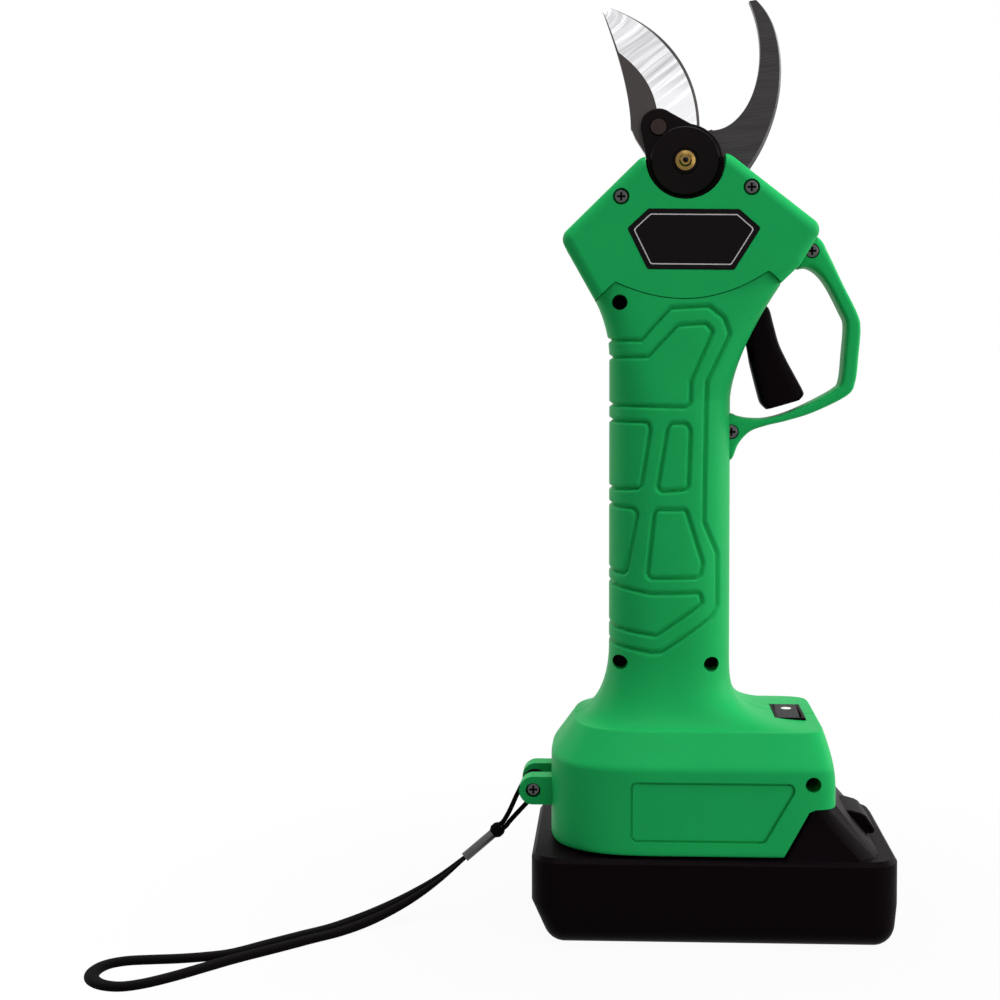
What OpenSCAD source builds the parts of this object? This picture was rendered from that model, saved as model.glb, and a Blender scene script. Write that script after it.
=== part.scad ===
// Battery electric pruner: a bypass blade driven by a bevel gear in the head, a motor in the handle
// and a slide-on battery pack as the foot.
// X points to the trigger side, Y away from the badge side and Z up, from the floor under the handle.

/* [Drive line] */
// Height of the blade pivot above the floor
pivot_z = 249.4; // [245:0.2:254]
// Sideways place of the drive line from the handle's middle
drive_x = 4.6; // [4:0.1:5]
// Radius of the pivot shaft
shaft_r = 4; // [3.4:0.1:4.4]
// Radial clearance of a turning fit
run_gap = 0.03; // [0.02:0.01:0.08]
// Clearance of a fixed or sliding fit
fit_gap = 0.3; // [0.2:0.05:0.5]
// Length of the motor can
motor_len = 60; // [50:1:64]
// Radius of the gearbox
gearbox_r = 13; // [12:0.25:13.5]
// Length of the gearbox
gearbox_len = 31; // [27:1:32]
// Radius of the bevel pinion's shaft
pinion_shaft_r = 3; // [2.5:0.1:3.5]

/* [Blades] */
// Thickness of the moving blade
blade_t = 3.2; // [2.6:0.1:3.6]
// Thickness of the fixed hook
hook_t = 4; // [3.4:0.1:4.4]
// Radius of the blade hubs
hub_r = 9.5; // [8.8:0.1:9.8]
// Radius of the drive disc
disc_r = 12.4; // [11.6:0.1:12.6]
// Radius of the drive pin
pin_r = 2.6; // [2.2:0.1:2.9]

/* [Head] */
// Half depth of the head
head_half = 19.5; // [19:0.25:21]
// Radius along the head's edges
head_edge_r = 4; // [3:0.25:5]
// Radius of the round notch about the pivot
notch_r = 12.9; // [12.75:0.05:13.5]

/* [Handle] */
// Wall of every green moulding
wall = 2.4; // [2:0.1:2.8]
// Half width of the handle
handle_half_w = 20; // [19.5:0.1:21]
// Half depth of the handle
handle_half_d = 20.5; // [19.5:0.1:22]
// Height of the seam between handle and head at its lowest point
seam_z = 204.7; // [203:0.2:206]
// Gap at the seam
seam_gap = 0.3; // [0.2:0.05:0.6]
// Radius of the housing screws' wells
well_r = 2.5; // [2.2:0.1:3]

/* [Foot] */
// Reach of the foot to the strap side
foot_left = 39; // [37:0.5:41]
// Reach of the foot to the trigger side
foot_right = 54; // [52:0.5:55]
// Half depth of the foot
foot_half = 37; // [36.5:0.25:37.5]
// Height of the foot's lower edge
foot_z = 29; // [28.6:0.2:30]
// Height of the crease where the foot's sides start to slope
shoulder_z = 56.5; // [54:0.5:58]
// Height of the foot's top
foot_top_z = 67; // [65:0.5:69]
// Height over which the handle flares out to the foot
flare_h = 23; // [18:1:28]

/* [Trigger] */
// Half depth of the trigger
trigger_half = 5.5; // [4.5:0.25:6]
// Half depth of the guard bow
guard_half = 6.5; // [6.5:0.25:7.5]
// Radius of the trigger pin
trigger_pin_r = 1.5; // [1.2:0.1:1.8]

/* [Battery] */
// Reach of the pack to the strap side
pack_left = 44.4; // [43:0.2:46]
// Reach of the pack to the trigger side
pack_right = 71.6; // [71:0.2:74]
// How far the pack's sides stand out past the foot's
pack_overhang = 0.5; // [0.3:0.1:1]
// Height of the pack's body
pack_h = 28; // [27:0.2:28.2]
// Radius of a cell
cell_r = 9.1; // [8.8:0.1:9.3]
// Length of a cell
cell_len = 65; // [60:0.5:66]

/* [Strap] */
// Diameter of the thin strap cord
cord_d = 1.6; // [1.2:0.1:1.8]
// Width of the strap tape
tape_w = 4.4; // [3.6:0.1:4.8]
// Thickness of the strap tape
tape_t = 2.4; // [1.8:0.1:2.6]

/* [Hidden] */
$fn = 48;

green = "mediumseagreen";
black = "#1c1a1b";
steel = "silver";
dark_steel = "dimgray";
brass = "goldenrod";

function mix(a, b, t) = a + (b - a) * t;
function unit(v) = v / norm(v);
function ramp(x, r) = x < -r ? 0 : x < r ? pow(x + r, 2) / (4 * r) : x;
function bezier(p, t) =
    pow(1 - t, 3) * p[0] + 3 * t * pow(1 - t, 2) * p[1] + 3 * t * t * (1 - t) * p[2] + pow(t, 3) * p[3];
function inset(pts, d) =
    [for (i = [0:len(pts) - 1])
        let (n = len(pts), u = unit(pts[i] - pts[(i + n - 1) % n]), v = unit(pts[(i + 1) % n] - pts[i]))
        let (a = [-u[1], u[0]], b = [-v[1], v[0]])
        pts[i] + (a + b) * d / (1 + a * b)];

// Closed solid through rings of equal point count
module skin(rings) {
    n = len(rings[0]);
    m = len(rings);
    sides = [for (k = [0:m - 2], i = [0:n - 1], h = [0, 1])
        let (j = (i + 1) % n, a = k * n, b = (k + 1) * n)
        h == 0 ? [a + i, b + j, a + j] : [a + i, b + i, b + j]];
    first = [for (i = [1:n - 2]) [0, i, i + 1]];
    last = [for (i = [1:n - 2]) [(m - 1) * n, (m - 1) * n + i + 1, (m - 1) * n + i]];
    polyhedron([for (r = rings) each r], concat(first, sides, last));
}

// Flat outline in X and Z, drawn from depth y0 to depth y1
module prism_y(y0, y1) {
    translate([0, y1, 0]) rotate([90, 0, 0]) linear_extrude(y1 - y0) children();
}

// Round bar along Y
module rod_y(r, y0, y1) {
    translate([0, y1, 0]) rotate([90, 0, 0]) cylinder(r = r, h = y1 - y0);
}

module at(p) {
    translate([p[0], 0, p[1]]) children();
}

module ring_y(r_out, r_in, y0, y1) {
    difference() {
        rod_y(r_out, y0, y1);
        rod_y(r_in, y0 - 1, y1 + 1);
    }
}

// Tube of oval rings along a route: each stop is [centre, direction, half width, half thickness];
// a ring's width is square to the across direction
function oval_ring(stop, sides, across) =
    let (d = unit(stop[1]), s = unit(cross(across, d)), u = cross(d, s))
    [for (i = [0:sides - 1])
        let (a = 360 * i / sides)
        stop[0] + s * stop[2] * cos(a) + u * stop[3] * sin(a)];
function heading(pts, i) = pts[min(i + 1, len(pts) - 1)] - pts[max(i - 1, 0)];

// Main stack along Y at the pivot
pivot = [drive_x, pivot_z];
hook_back = 0;
hook_front = hook_back - hook_t;
blade_back = hook_front - 0.15;
blade_front = blade_back - blade_t;
disc_back = blade_front - 0.1;
disc_mid = disc_back - 3.6;
disc_front = disc_mid - 2.6;
case_front_t = 2;
case_inside = 11;
case_back = 13.6;
bush_wall = 1.2;
bearing_r = 7;

// Bevel drive: thirty teeth on the full circle against ten, three turns to one
gear_teeth = 30;
pinion_teeth = 10;
ratio = gear_teeth / pinion_teeth;
gear_heel = 15;
gear_toe = 10.5;
addendum = 0.8;
dedendum = 1.05;
tooth_half = 0.5;
flank = tan(20);
first_tooth = -1;
last_tooth = 5;
cone = unit([ratio, 1]);
gear_back = 9;

// Heights of the drive below the pivot
pinion_heel_z = pivot_z - gear_heel;
case_floor_z = pivot_z - 31.4;
gearbox_z = case_floor_z - gearbox_len;
motor_z = gearbox_z - motor_len;
motor_wall_gap = 0.5;
motor_r = handle_half_w - wall - drive_x - motor_wall_gap;
neck_r = 9.5;
neck_h = 16;
pinion_reach = 8;
pinion_bearing_r = 8;
pinion_bearing_h = 6;
rim_in = 16.4;
rim_out = 18.2;
rim_top = -8;
collar_low = -3;
boss_places = [[13, -13], [-13, -13]];

// Seam between handle and head: two peaks and a sagging line between
seam_left = [-17.9, seam_z + 5.4];
seam_right = [31.3, seam_z + 8.9];
seam_low_x = 4.4;
seam_fall = 0.9;
function seam_at(x) =
    x < seam_left[0] ? seam_left[1] - seam_fall * (seam_left[0] - x)
    : x < seam_low_x ? mix(seam_z, seam_left[1], pow((x - seam_low_x) / (seam_left[0] - seam_low_x), 2))
    : x < seam_right[0] ? mix(seam_z, seam_right[1], pow((x - seam_low_x) / (seam_right[0] - seam_low_x), 2))
    : seam_right[1] - seam_fall * (x - seam_right[0]);
seam_steps = [-70, seam_left[0], -12, -6, 0, seam_low_x, 10, 16, 22, 27, seam_right[0], 90];
module above_seam(shift) {
    polygon(concat(
        [for (x = seam_steps) [x, seam_at(x) + shift]],
        [[90, pivot_z + 30], [-70, pivot_z + 30]]));
}
module below_seam(shift) {
    polygon(concat(
        [[-70, foot_z], [90, foot_z]],
        [for (i = [len(seam_steps) - 1:-1:0]) [seam_steps[i], seam_at(seam_steps[i]) + shift]]));
}

// Head outline, anticlockwise seen from the badge side
head_peak_l = [drive_x - 14.3, pivot_z + 1];
head_peak_r = [drive_x + 14.1, pivot_z + 1.9];
head_corner_l = [-36, seam_z + 20];
head_corner_r = [48.8, seam_z + 23.1];
head_low_l = [-17.4, seam_z - 13];
head_low_r = [18, seam_z - 11.8];
head_mid_r = [41.6, seam_z + 11.1];
head_outline = [head_peak_r, head_peak_l, head_corner_l, head_low_l, head_low_r, head_mid_r, head_corner_r];
module head_solid(back, shrink, r) {
    depth = head_half - shrink - r;
    hull() for (p = inset(head_outline, shrink + r)) {
        translate([p[0], -depth, p[1]]) sphere(r, $fn = 24);
        at(p) rod_y(r, -depth, back, $fn = 24);
    }
}

// Handle and foot: half sections upwards, [height, left, right, depth, squareness left, squareness right]
handle_square = 2.6;
neck_square = 5;
neck_left_z = 186;
neck_right_z = 172;
neck_left_w = 4.7;
neck_right_w = 12.8;
foot_left_square = 3.2;
foot_right_square = 12;
foot_end_z = 50;
foot_top_left = 31.5;
foot_top_right = 45;
foot_top_half = 30;
crease = 2.5;
function foot_row(z, tuck) =
    let (side = ramp(z - shoulder_z, crease) / (foot_top_z - shoulder_z))
    let (end = ramp(z - foot_end_z, crease) / (foot_top_z - foot_end_z))
    [z,
     foot_left - tuck - side * (foot_left - foot_top_left),
     foot_right - tuck - end * (foot_right - foot_top_right),
     foot_half - tuck - side * (foot_half - foot_top_half),
     foot_left_square, foot_right_square];
function flare_row(a) =
    let (s = 1 - sin(a))
    [foot_top_z + flare_h * (1 - cos(a)),
     handle_half_w + (foot_top_left - handle_half_w) * s,
     handle_half_w + (foot_top_right - handle_half_w) * pow(s, 1.7),
     handle_half_d + (foot_top_half - handle_half_d) * s,
     mix(handle_square, foot_left_square, s), mix(handle_square, foot_right_square, pow(s, 1.7))];
function handle_row(z) =
    let (l = max(0, z - neck_left_z) / (seam_z - neck_left_z))
    let (r = max(0, z - neck_right_z) / (seam_z - neck_right_z), q = min(1, r))
    let (square = mix(handle_square, neck_square, q))
    [z, handle_half_w + neck_left_w * pow(l, 2), handle_half_w + neck_right_w * pow(r, 1.6),
     mix(handle_half_d, head_half, q), square, square];
handle_heights = [105, 125, 145, 165, 173, 179, 185, 191, 197, 203, 209, 217];
body_rows = concat(
    [foot_row(foot_z, 0.8), foot_row(foot_z + 0.8, 0)],
    [for (z = [foot_end_z - crease, foot_end_z, foot_end_z + crease]) foot_row(z, 0)],
    [for (z = [shoulder_z - 1, shoulder_z, shoulder_z + crease]) foot_row(z, 0)],
    [for (z = [foot_top_z - 3.5, foot_top_z - 0.8]) foot_row(z, 0)],
    [for (a = [5, 14, 24, 35, 47, 60, 74, 90]) flare_row(a)],
    [for (z = handle_heights) handle_row(z)]);
function thinned(row, t) = [row[0] - t, row[1] - t, row[2] - t, row[3] - t, row[4], row[5]];
function half_ring(row, count, back) =
    let (arc = [for (k = [0:count])
        let (t = 180 + 180 * k / count, left = cos(t) < 0, e = 2 / (left ? row[4] : row[5]))
        [(left ? -row[1] : row[2]) * pow(abs(cos(t)), e), -row[3] * pow(abs(sin(t)), e), row[0]]])
    back > 0 ? concat([[-row[1], back, row[0]]], arc, [[row[2], back, row[0]]]) : arc;
function lifted(row, z) = [z, row[1], row[2], row[3], row[4], row[5]];
module body_outer() {
    skin([for (row = body_rows) half_ring(row, 24, 0)]);
}
module body_inner() {
    rows = [for (row = body_rows) thinned(row, wall)];
    top = rows[len(rows) - 1];
    skin([for (row = concat(rows, [lifted(top, top[0] + 8)])) half_ring(row, 14, 1)]);
}

// Grip: grooves along the outlines of moulded pads, [x, z]; the pads at wrap_x run round to the other half
groove_half = 0.8;
groove_deep = 0.6;
wrap_x = -handle_half_w - 10;
grip_pads = [
    [[wrap_x, 191.6], [-9.7, 191.3], [-0.3, 201.7], [12, 202.3], [16.9, 198.4], [18.8, 193.2], [11.5, 178],
     [11, 152.1], [10.7, 132.7], [15.3, 122.3], [15.3, 105.2], [13.5, 101.9], [-2.9, 90.9], [wrap_x, 94]],
    [[wrap_x, 185.8], [-7.4, 186.1], [2, 196.2], [11, 196.8], [13.3, 194.2], [6.2, 178],
     [6.2, 171.2], [4.9, 169.9], [wrap_x, 170.8]],
    [[wrap_x, 165.4], [-7.4, 165.1], [-6.8, 162.5], [-9.8, 143.7], [wrap_x, 142.4]],
    [[-0.3, 164.7], [4.9, 164.7], [6.2, 162.5], [5.5, 143.4], [-4.5, 142.8], [-1.3, 162.5]],
    [[wrap_x, 138.1], [-11.9, 137.2], [-10.8, 135.3], [-14.5, 115.8], [wrap_x, 116.3]],
    [[-4.8, 136.9], [4.9, 136.9], [5.9, 133.3], [10.4, 119.4], [9.4, 114.9], [-7.7, 114.6], [-5.5, 135.3]],
    [[wrap_x, 113], [-6.4, 109.7], [9.4, 110], [10.4, 106.5], [-4.8, 96.1], [wrap_x, 99]]];
module grip_grooves() {
    difference() {
        prism_y(-60, 1) for (pad = grip_pads) difference() {
            polygon(inset(pad, groove_half));
            polygon(inset(pad, -groove_half));
        }
        skin([for (row = body_rows) if (row[0] > foot_top_z + 4)
            half_ring(thinned(row, groove_deep), 24, 2)]);
    }
}

// Screw places in the shells, [x, z]
shell_screws = [[-16.5, seam_z - 1.1], [-16.2, 86.4], [13.3, 86.4], [44.3, 52]];
boss_r = 3.7;
screw_r = 1.5;
screw_head_r = 2.3;
well_floor = -7;

// Battery seat: rails on the foot, a slotted block on the pack
rail_top = foot_z + 4.6;
rail_half = 27.5;
block_half = foot_half - wall - 1;
block_top = rail_top + 9.8;
block_left = -29.5;
block_len = 70;
block_plan = [
    [block_left, block_half - 7.2], [block_left + 6, block_half - 3],
    [block_left + 16, block_half - 0.4], [block_left + block_len, block_half - 0.4]];
function mirrored(pts) = [for (i = [len(pts) - 1:-1:0]) [pts[i][0], -pts[i][1]]];
foot_cut = [[35, foot_z], [43, foot_z + 14.4], [45, block_top + 0.8], [foot_right + 3, block_top + 0.8]];
module foot_cut_shape() {
    polygon(concat(foot_cut, [[foot_right + 3, foot_z - 3], [33.3, foot_z - 3]]));
}

// Trigger and guard places
trigger_pivot = [24.5, seam_z - 7.7];
trigger_hub_r = 3.4;
trigger_slot_z = [seam_z - 22, seam_z + 2];
slot_half = guard_half + fit_gap;
trigger_slot_half = trigger_half + 1.6;
guard_low_z = [152.2, 167.4];
guard_low_x = handle_half_w - wall + 0.1;
guard_edge = unit(head_corner_r - head_mid_r);
guard_edge_angle = atan2(guard_edge[1], guard_edge[0]);
guard_tab_t = 4;
guard_tab_len = 12;
guard_screw_top = [46.3, seam_z + 16];
guard_screw_low = [handle_half_w + 0.2, 161.4];
module guard_top_tab(grow) {
    at(head_mid_r) rotate([0, -guard_edge_angle, 0])
        translate([-grow, -guard_half - grow, -0.5 - grow])
            cube([guard_tab_len + 2 * grow, 2 * guard_half + 2 * grow, guard_tab_t + 0.5 + 2 * grow]);
}

// Power switch place on the foot's top
switch_x = 39.6;
switch_half_x = 4.9;
switch_half_y = 11;
switch_z = foot_top_z + 0.4;
switch_deep = 9;
rocker_tilt = 7;
rocker_pin_z = switch_z - 2.5;

// Strap lug
lug = [-44.8, 43.4];
lug_r = 4.6;
lug_in = 6;
lug_out = 13;
lug_sleeve_r = 2.4;

// A length past every side of the housing
beyond = foot_right + 6;
// Front half of the handle and foot, before what differs between the halves
module shell_half(screw_bore) {
    difference() {
        union() {
            difference() {
                body_outer();
                difference() {
                    body_inner();
                    shell_inside();
                }
            }
            at(lug) rod_y(lug_r, -lug_out, -lug_in);
            translate([lug[0], -lug_out, lug[1] - lug_r])
                cube([-lug[0] - foot_left + 2, lug_out - lug_in, 2 * lug_r]);
        }
        prism_y(-60, 1) above_seam(-seam_gap / 2);
        prism_y(-60, 1) foot_cut_shape();
        grip_grooves();
        for (p = shell_screws) at(p) rod_y(screw_bore, -60, 1);
        at(lug) rod_y(screw_r + 0.05, -lug_out - 1, 1);
        translate([guard_low_x - fit_gap, -slot_half, guard_low_z[0] - fit_gap])
            cube([20, slot_half + 1, guard_low_z[1] - guard_low_z[0] + 2 * fit_gap]);
        translate([trigger_pivot[0] - 6.6, -trigger_slot_half, trigger_slot_z[0]])
            cube([30, trigger_slot_half + 1, trigger_slot_z[1] - trigger_slot_z[0]]);
        at(trigger_pivot) rod_y(trigger_pin_r + run_gap, -trigger_slot_half - 4, 1);
        translate([switch_x, 0, switch_z - switch_deep]) translate([-switch_half_x, -switch_half_y, 0])
            translate([-fit_gap, -fit_gap, -fit_gap])
                cube([2 * switch_half_x + 2 * fit_gap, switch_half_y + 1, 20]);
    }
}

// What stands inside a shell half: bosses, cradle ribs, rails and seats
module shell_inside() {
    for (p = shell_screws) at(p) rod_y(boss_r, -beyond, 0);
    for (z = [motor_z + 6, motor_z + motor_len - 9]) cradle(z, motor_r + fit_gap);
    cradle(gearbox_z + 6, gearbox_r + fit_gap);
    translate([-beyond, -beyond, foot_z - 3]) cube([2 * beyond, beyond - rail_half, rail_top - foot_z + 3]);
    translate([-beyond, -beyond, terminal_top + 0.05]) cube([beyond + block_left - 1, beyond + 1, 2]);
    for (z = [board_z[0] - 2, board_z[1] - 1]) difference() {
        translate([-beyond, -beyond, z]) cube([2 * beyond, beyond + 1, 3]);
        translate([-board_half - fit_gap, -1.1, board_z[0] - fit_gap])
            cube([2 * board_half + 2 * fit_gap, 3, board_z[1] - board_z[0] + 2 * fit_gap]);
        translate([-6, -beyond, z - 1]) cube([12, beyond + 2, 5]);
    }
    difference() {
        at(trigger_pivot) rod_y(trigger_pin_r + 2, -trigger_slot_half - 5, -trigger_slot_half);
        translate([drive_x, 0, gearbox_z]) cylinder(r = gearbox_r + fit_gap, h = gearbox_len);
    }
    translate([switch_x - 9, -switch_half_y - 3, switch_z - switch_deep - 2])
        cube([18, switch_half_y + 4, 20]);
}
module cradle(z, r) {
    difference() {
        translate([-beyond, -beyond, z]) cube([2 * beyond, beyond, 2]);
        translate([drive_x, 0, z - 1]) cylinder(r = r, h = 4);
    }
}

module front_shell() {
    color(green) difference() {
        shell_half(screw_r + 0.1);
        for (p = shell_screws) at(p) rod_y(well_r, -60, well_floor);
        at(lug) rod_y(screw_head_r + 0.2, -lug_out - 1, -lug_out + 3);
        prism_y(-foot_half - 1, -foot_half + 0.7) panel_shape();
    }
}

module rear_shell() {
    color(green) mirror([0, 1, 0]) difference() {
        shell_half(screw_r - 0.2);
        prism_y(-foot_half - 1, -foot_half + 0.7) panel_shape();
        for (p = shell_screws) at(p) rod_y(screw_r + 0.05, -9, 1);
    }
}

// Shallow panel on the foot's side
panel_r = 2.5;
panel = [[-13, 33.4], [29.3, 33.4], [38.6, 49.5], [38.6, 52.6], [-13, 52.6]];
module panel_shape() {
    offset(r = panel_r, $fn = 24) offset(delta = -panel_r) polygon(panel);
}

// Head covers
module head_half_cover(collar_end, cut_r) {
    difference() {
        union() {
            difference() {
                head_solid(0, 0, head_edge_r);
                head_solid(1, wall, 2);
            }
            intersection() {
                head_solid(0, 0.5, head_edge_r);
                union() {
                    at(pivot) rod_y(notch_r + 2, -head_half, collar_end);
                    for (p = head_screw_places) at(p) rod_y(boss_r, -head_half, 0);
                }
            }
        }
        at(pivot) rod_y(cut_r, -head_half - 1, 1);
        prism_y(-60, 2) below_seam(seam_gap / 2);
        guard_top_tab(fit_gap);
    }
}
head_screw_places = [[-16.1, pivot_z - 11.9], [25.6, pivot_z - 9.1]];
head_well_r = 2.7;
head_well_deep = 2.2;
badge = [[-14, 22.5], [-7.3, 28.7], [21.6, 28.4], [28.4, 22.5], [20, 9.2], [-7.6, 9.5]];
badge_t = 0.8;
module badge_shape(grow) {
    translate([0, seam_z]) offset(r = 1, $fn = 24) offset(delta = grow - 1) polygon(badge);
}

module head_cover_front() {
    color(green) difference() {
        head_half_cover(disc_back - 0.6, notch_r);
        prism_y(hook_front - fit_gap, 2) hook_outline(fit_gap);
        for (p = head_screw_places) at(p) {
            rod_y(screw_r + 0.1, -head_half - 1, 1);
            rod_y(head_well_r, -head_half - 1, -head_half + head_well_deep);
        }
        prism_y(-head_half - 1, -head_half + badge_t) badge_shape(0.15);
    }
}

module head_cover_rear() {
    color(green) mirror([0, 1, 0]) difference() {
        head_half_cover(-case_back - 0.6, disc_r + 0.1);
        for (p = head_screw_places) at(p) rod_y(screw_r + 0.05, -12, 1);
    }
}

module badge_plate() {
    color(black) prism_y(-head_half, -head_half + badge_t - 0.05) badge_shape(0);
}

// Guard bow: pairs of inner and outer points from the head round to the handle
guard_pairs = [
    [head_mid_r + [0.3, -0.6], head_mid_r + guard_edge * guard_tab_len],
    [[42.3, 215], [50, 224]], [[45, 215.2], [51.6, 220.8]], [[48.3, 213.3], [54.2, 215.4]],
    [[51.7, 209], [56.8, 209.8]], [[56, 200.7], [61.4, 200.6]], [[57.5, 196.5], [62.6, 195.6]],
    [[56.9, 187], [62, 186.6]], [[56, 178.3], [61, 178]], [[53.8, 175.4], [58.3, 173.3]],
    [[45, 170.6], [47.4, 167.8]], [[37.5, 167.4], [38.6, 165]], [[31.5, 165.9], [32, 163.4]],
    [[handle_half_w + 6, 165.9], [handle_half_w + 6.6, 161.4]],
    [[handle_half_w + 2.4, 166.6], [handle_half_w + 2.8, 157.4]],
    [[handle_half_w + 0.5, guard_low_z[1]], [handle_half_w + 0.5, guard_low_z[0]]],
    [[guard_low_x, guard_low_z[1]], [guard_low_x, guard_low_z[0]]]];
guard_sides = 14;
function guard_ring(pair) =
    let (c = (pair[0] + pair[1]) / 2, h = (pair[1] - pair[0]) / 2)
    [for (i = [0:guard_sides - 1])
        let (a = 360 * (i + 0.5) / guard_sides, e = 2 / 3.4)
        let (k = sign(cos(a)) * pow(abs(cos(a)), e), y = -guard_half * sign(sin(a)) * pow(abs(sin(a)), e))
        [c[0] + h[0] * k, y, c[1] + h[1] * k]];
module trigger_guard() {
    color(green) difference() {
        union() {
            skin([for (p = guard_pairs) guard_ring(p)]);
            guard_top_tab(0);
        }
        for (p = [guard_screw_top, guard_screw_low]) at(p) {
            rod_y(screw_r + 0.05, -guard_half - 1, guard_half + 1);
            rod_y(screw_head_r + 0.15, -guard_half - 1, -guard_half + 1.6);
        }
    }
}

// Moving blade: cutting edge and spine are curves from the root to the tip, relative to the pivot
edge_curve = [[5, 11], [5, 31], [-7, 46], [-27.5, 52]];
spine_curve = [[-17.6, 11], [-17.6, 26], [-25, 44], [-27.3, 51.2]];
flat_share = 0.4;
flat_end = 0.56;
edge_land = 0.35;
tip_t = 0.9;
blade_steps = 16;
function blade_ring(t) =
    let (e = pivot + bezier(edge_curve, t), s = pivot + bezier(spine_curve, t))
    let (f = max(0.03, flat_share * (1 - pow(t / flat_end, 3))))
    let (thin = max(0, (t - flat_end) / (1 - flat_end)), front = mix(blade_front, blade_back - tip_t, thin))
    let (b = mix(s, e, f))
    [[e[0], blade_back, e[1]], [s[0], blade_back, s[1]], [s[0], front, s[1]],
     [b[0], front, b[1]], [e[0], blade_back - edge_land, e[1]]];
ear = [-8.6, 11.3];
ear_r = 6;
module moving_blade() {
    color(steel) difference() {
        union() {
            skin([for (k = [0:blade_steps]) blade_ring(k / blade_steps)]);
            at(pivot) rod_y(hub_r, blade_front, blade_back);
            at(pivot) prism_y(blade_front, blade_back)
                polygon([[5, 11.4], [-17.5, 11.4], [-16, 7.9], [-9, -3], [9, 3]]);
        }
        at(pivot) rod_y(shaft_r + 0.02, blade_front - 1, blade_back + 1);
        at(pivot + ear) rod_y(pin_r + 0.02, blade_front - 1, blade_back + 1);
    }
}

// Drive disc with its ear
module driver_plate() {
    color(black) difference() {
        union() {
            at(pivot) rod_y(disc_r, disc_mid, disc_back);
            at(pivot) rod_y(disc_r - 1.3, disc_front, disc_mid);
            at(pivot + ear) rod_y(ear_r, disc_mid, disc_back);
            at(pivot) prism_y(disc_mid, disc_back)
                polygon([[2, 12.2], [-5.4, 16.3], [-14.2, 9.2], [-12.4, 0], [0, 0]]);
        }
        at(pivot) rod_y(shaft_r + 0.02, disc_front - 1, disc_back + 1);
        at(pivot + ear) rod_y(pin_r + 0.02, disc_mid - 1, disc_back + 1);
    }
}

module drive_pin() {
    color(dark_steel) at(pivot + ear) rod_y(pin_r, disc_mid - 0.5, blade_back);
}

module pivot_shaft() {
    color(steel) difference() {
        at(pivot) rod_y(shaft_r, disc_front + 0.2, case_back + 4);
        at(pivot) rod_y(2.02, disc_front - 1, disc_front + 6);
    }
}

module shaft_nut() {
    color(dark_steel) at(pivot) difference() {
        rod_y(7, case_back + 0.2, case_back + 3.6, $fn = 6);
        rod_y(shaft_r + 0.02, case_back, case_back + 5);
    }
}

module grease_nipple() {
    color(brass) at(pivot) translate([0, disc_front, 0]) rotate([90, 0, 0]) rotate_extrude()
        polygon([[0, -4], [2, -4], [2, 0], [3.2, 0], [3.2, 0.9],
            [2.1, 1.3], [2.1, 1.9], [1.6, 2.6], [0, 2.6]]);
}

// Bevel sector: tooth columns on a cone whose tip is on the pivot at the drive line
function cone_point(radius, lift) = [radius, radius / ratio] + [cone[1], -cone[0]] * lift;
function sector_column(angle, lift) =
    let (scale_toe = gear_toe / gear_heel)
    let (heel = cone_point(gear_heel, lift), toe = cone_point(gear_toe, lift * scale_toe))
    [for (q = [toe, heel, [gear_heel + 0.2, gear_back], [gear_toe - 0.6, gear_back]])
        [drive_x + q[0] * sin(angle), q[1], pivot_z - q[0] * cos(angle)]];
tooth_pitch = 360 / gear_teeth;
tip_angle = atan((tooth_half - addendum * flank) / gear_heel);
root_angle = atan((tooth_half + dedendum * flank) / gear_heel);
sector_columns = concat(
    [sector_column((first_tooth - 0.5) * tooth_pitch, -dedendum)],
    [for (k = [first_tooth:last_tooth], c = [[-root_angle, -dedendum], [-tip_angle, addendum],
            [tip_angle, addendum], [root_angle, -dedendum]])
        sector_column(k * tooth_pitch + c[0], c[1])],
    [sector_column((last_tooth + 0.5) * tooth_pitch, -dedendum)]);
module bevel_sector() {
    mid = (first_tooth + last_tooth) / 2 * tooth_pitch;
    spread = (last_tooth - first_tooth) / 2 * tooth_pitch;
    color(dark_steel) difference() {
        union() {
            skin(sector_columns);
            at(pivot) rod_y(7, case_front_t + 0.4, case_inside - 0.2);
            at(pivot) rotate([0, -mid, 0]) prism_y(gear_back - 2.6, gear_back - 0.2)
                polygon([[0, -5], [-4, -5], [-12.4 * sin(spread), -12.4 * cos(spread)], [0, -12.4],
                    [12.4 * sin(spread), -12.4 * cos(spread)], [4, -5]]);
        }
        at(pivot) rod_y(shaft_r + 0.02, 0, 20);
    }
}

// Fixed hook: inner and outer curves from the root to the tip, relative to the pivot
hook_inner = [[9, 11], [21, 11], [30, 33], [21.1, 53]];
hook_outer = [[21, -2.5], [34.5, 16], [35, 43], [23.4, 53.4]];
hook_steps = 14;
hook_strip = 0.84;
hook_strip_drop = 0.9;
function hook_ring(t) =
    let (i = pivot + bezier(hook_inner, t), o = pivot + bezier(hook_outer, t), c = mix(i, o, hook_strip))
    [[i[0], hook_front, i[1]], [c[0], hook_front, c[1]], [o[0], hook_front + hook_strip_drop, o[1]],
     [o[0], hook_back, o[1]], [i[0], hook_back, i[1]]];
hook_tang = [[21.2, -2.2], [17, -6.6], [16.2, -15.8], [10.4, -16.4], [8.4, -9.5], [0, -5],
    [-8.4, -9.5], [-10.4, -16.4], [-16.2, -15.8], [-16.2, -8], [-9, 0], [5, 10], [9, 11.3]];
module hook_outline(grow) {
    translate(pivot) offset(delta = grow) polygon(concat(
        [for (k = [0:4]) bezier(hook_outer, k / 4)],
        [for (k = [4:-1:0]) bezier(hook_inner, k / 4)],
        [[0, 0], [8.4, -9.5], [17, -6.6]]));
}
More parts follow.
